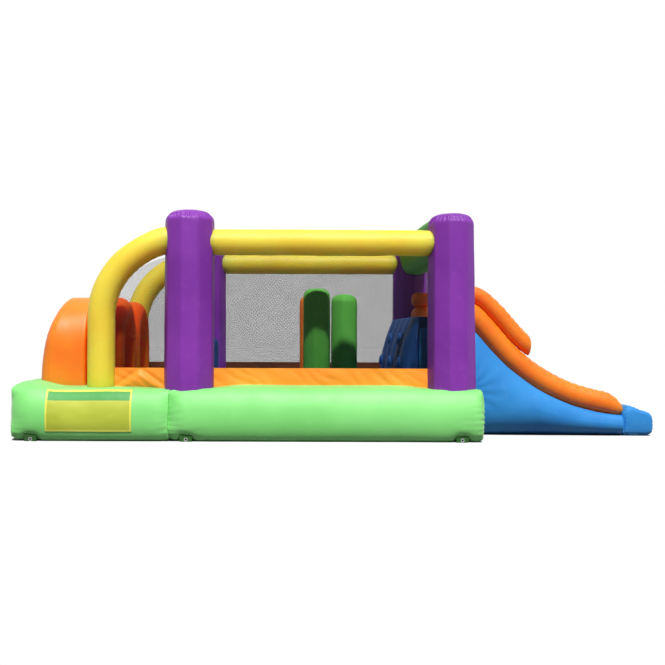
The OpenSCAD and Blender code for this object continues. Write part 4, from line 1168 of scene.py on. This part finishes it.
def make_zip():
    y0 = SLIDE_Y + GAP
    x = np.linspace(ZIP_X - ZIP_L / 2, ZIP_X + ZIP_L / 2, 60)
    ring = np.array([(0.0002, -0.018), (0.0018, -0.0178), (0.002, -0.006), (0.0014, 0), (0.002, 0.006),
                     (0.0018, 0.0178), (0.0002, 0.018)])
    P = xyz(x[:, None], y0 + ring[:, 0], ZIP_Z + ring[:, 1])
    patches = [Patch(P, True, True)]
    tooth = np.array([(-1, -1), (1, -1), (1, 1), (-1, 1)]) * np.array([0.0011, 0.0022])
    for i in range(int(ZIP_L / TOOTH_PITCH)):
        centre_x = ZIP_X - ZIP_L / 2 + (i + 0.5) * TOOTH_PITCH
        z = ZIP_Z + (0.0012 if i % 2 else -0.0012)
        rows = [xyz(centre_x + tooth[:, 0] * k, y0 + y, z + tooth[:, 1] * k)
                for y, k in ((0.0012, 1.0), (0.0019, 1.0), (0.0023, 0.6))]
        patches.append(Patch(np.stack(rows), True, True, material=1))
    obj = build("zip_tape_band", patches, NET, METAL)
    put(obj, "house", "zip_tape", "zip_tape")


def make_flap():
    hem_y, hem_z, face_y = SLIDE_Y + 0.0084, 0.1564, SLIDE_Y + 0.0185
    a = np.radians(np.linspace(-80, 230, 22))
    roll = np.stack([hem_y + 0.0075 * np.cos(a[::-1]), hem_z + 0.0075 * np.sin(a[::-1])], axis=1)
    drop = curve([(hem_y + 0.0013, hem_z - 0.0074), (face_y - 0.003, hem_z - 0.001), (face_y, hem_z - 0.008),
                  (face_y, hem_z - 0.04), (face_y, hem_z - 0.070)], 0.004)
    line = np.concatenate([roll, drop[1:]])
    x = np.linspace(ZIP_X - ZIP_L / 2, ZIP_X + ZIP_L / 2, 96)
    P = xyz(x[:, None], line[:, 0], line[:, 1])
    hang = smooth(hem_z - 0.01, hem_z - 0.07, P[..., 2])
    P[..., 1] += hang * 0.0012 * (1 + np.sin(TAU * P[..., 0] / 0.09 + 2 * noise(P, 0.1, 381)))
    obj = build("zip_flap_cloth", [Patch(P)], BLUE)
    put(obj, "zip_flap", "blue_fabric", "zip_flap")


def make_tabs():
    a = round_angles(64)
    patches = []
    for x in TAB_X:
        for side in (1, -1):
            rect = np.stack([np.cos(a), np.sin(a)], axis=1)
            top, bottom = 0.055, EYELET_Z - 0.001
            k = np.minimum(TAB_W / 2 / np.maximum(np.abs(rect[:, 0]), 1e-6),
                           np.where(rect[:, 1] > 0, top, bottom) / np.maximum(np.abs(rect[:, 1]), 1e-6))
            rim, edge = rect * EYELET_R, rect * k[:, None]
            rows = []
            for y in (0.0, TAB_T):
                fractions = np.linspace(0, 1, 9)
                for f in (fractions if y == 0 else fractions[::-1]):
                    q = rim + (edge - rim) * f
                    puff = 0.0006 * math.sin(math.pi * f) * (-1 if y == 0 else 1)
                    rows.append(xyz(x + q[:, 0], -side * (TAB_Y - y - puff), EYELET_Z + q[:, 1]))
            patches.append(Patch(np.stack(rows), True))
    # The tabs are painted dark green, as painted shade under the base's bulge.
    obj = build("anchor_tab_webbing", patches, TAB_PAINTED_SHADE)
    put(obj, "house", "leaf_fabric", "anchor_tabs")


for side, end, seed in ((1, "front", 101), (-1, "rear", 141)):
    make_column(end + "_left_column", LEFT_COLUMN_X, side, *LEFT_COLUMN, seed)
    make_column(end + "_right_column", RIGHT_COLUMN_X, side, *RIGHT_COLUMN, seed + 20)
make_entry_base()
make_side_tube("front_base_tube", 1, 201)
make_side_tube("rear_base_tube", -1, 221)
make_end_tube()
make_floor()
make_beam("front_beam", 1, 241)
make_beam("rear_beam", -1, 251)
make_arch("front_arch", 1, 261)
make_arch("rear_arch", -1, 281)
make_cross_tube()
for side, end in ((1, "front"), (-1, "rear")):
    make_wall(end + "_wall", WALL_X, side, 401 + side)
    make_wall(end + "_entry_wall", ENTRY_WALL_X, side, 411 + side)
    make_net(end + "_net", WALL_X, False, side, 421 + side)
    make_net(end + "_arch_net", ENTRY_WALL_X, True, side, 431 + side)
    make_hoop(end + "_tunnel_outer_hoop", side, 0, 441 + 20 * side)
    make_hoop(end + "_tunnel_inner_hoop", side, 1, 481 + 20 * side)
    make_rail(end + "_lower_rail", side, False, 521 + 10 * side)
    make_rail(end + "_upper_rail", side, True, 551 + 10 * side)
# The short blue post is drawn in the darker blue copy, as painted shade.
POST_LOOKS = {"front_green_post": (LEAF, "leaf_fabric"), "rear_green_post": (LEAF, "leaf_fabric"),
              "orange_post": (ORANGE, "orange_fabric"), "blue_post": (BLUE_PAINTED_SHADE, "blue_fabric")}
for number, (name, place) in enumerate(POSTS.items()):
    make_post(name, *place, *POST_LOOKS[name], 601 + 10 * number)
make_climbing_wall()
make_holds()
make_slide_body()
make_bolster()
make_webs()
make_patch()
make_inlet()
make_zip()
make_flap()
make_tabs()


# Stage, light and camera

FLOOR_LIT, FLOOR_SEEN = (0.12, 0.12, 0.12, 1), (0.75, 0.75, 0.75, 1)


def rays_seen(tree):
    """1 for the rays that show the white surroundings: camera, glossy and transmission rays."""
    path = tree.nodes.new("ShaderNodeLightPath").outputs
    seen = path["Is Camera Ray"]
    for kind in ("Is Glossy Ray", "Is Transmission Ray"):
        larger = tree.nodes.new("ShaderNodeMath")
        larger.operation = "MAXIMUM"
        tree.links.new(seen, larger.inputs[0])
        tree.links.new(path[kind], larger.inputs[1])
        seen = larger.outputs[0]
    return seen


def make_stage():
    bpy.ops.mesh.primitive_grid_add(x_subdivisions=4, y_subdivisions=4, size=160, location=(0, 0, -0.002))
    floor = bpy.context.object
    floor.name = "floor"
    g = Nodes("floor")
    g.link(g.mix(rays_seen(g.tree), FLOOR_LIT, FLOOR_SEEN), g.shader.inputs["Base Color"])
    g.shader.inputs["Roughness"].default_value = 0.9
    g.shader.inputs["Specular IOR Level"].default_value = 0.0
    floor.data.materials.append(g.material)


AMBIENT = 0.13
SUN_STRENGTH = 4.65
SUN_AZIMUTH, SUN_ELEVATION, SUN_SOFTNESS = math.radians(6), math.radians(55.5), math.radians(3)


def make_light():
    world = bpy.data.worlds.new("studio")
    bpy.context.scene.world = world
    world.use_nodes = True
    tree = world.node_tree
    strength = tree.nodes.new("ShaderNodeMapRange")
    tree.links.new(rays_seen(tree), strength.inputs["Value"])
    strength.inputs["To Min"].default_value = AMBIENT
    strength.inputs["To Max"].default_value = 1.0
    background = tree.nodes["Background"]
    background.inputs["Color"].default_value = (1, 1, 1, 1)
    tree.links.new(strength.outputs["Result"], background.inputs["Strength"])
    sun = bpy.data.objects.new("key", bpy.data.lights.new("key", "SUN"))
    sun.data.energy = SUN_STRENGTH
    sun.data.angle = SUN_SOFTNESS
    towards = Vector((math.cos(SUN_ELEVATION) * math.sin(SUN_AZIMUTH),
                      -math.cos(SUN_ELEVATION) * math.cos(SUN_AZIMUTH), math.sin(SUN_ELEVATION)))
    sun.rotation_euler = towards.to_track_quat("Z", "Y").to_euler()
    bpy.context.scene.collection.objects.link(sun)


# Camera, fitted to the photo's perspective
CAMERA_AT, CAMERA_ROLL = (-0.733, -9.06, 0.907), math.radians(-0.2)
SENSOR_W, LENS, SHIFT_X, SHIFT_Y = 36, 46.64, 0.1, 0.0113


def make_camera():
    camera = bpy.data.objects.new("camera", bpy.data.cameras.new("camera"))
    camera.location = CAMERA_AT
    camera.rotation_euler = (math.radians(90), CAMERA_ROLL, 0)
    camera.data.sensor_width = SENSOR_W
    camera.data.lens = LENS
    camera.data.shift_x = SHIFT_X
    camera.data.shift_y = SHIFT_Y
    bpy.context.scene.collection.objects.link(camera)
    bpy.context.scene.camera = camera


make_stage()
make_light()
make_camera()
for node in ("zip_slider", "anchor_eyelets"):
    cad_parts[node].data.materials.clear()
    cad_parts[node].data.materials.append(METAL)
bpy.context.scene.view_settings.view_transform = "Standard"
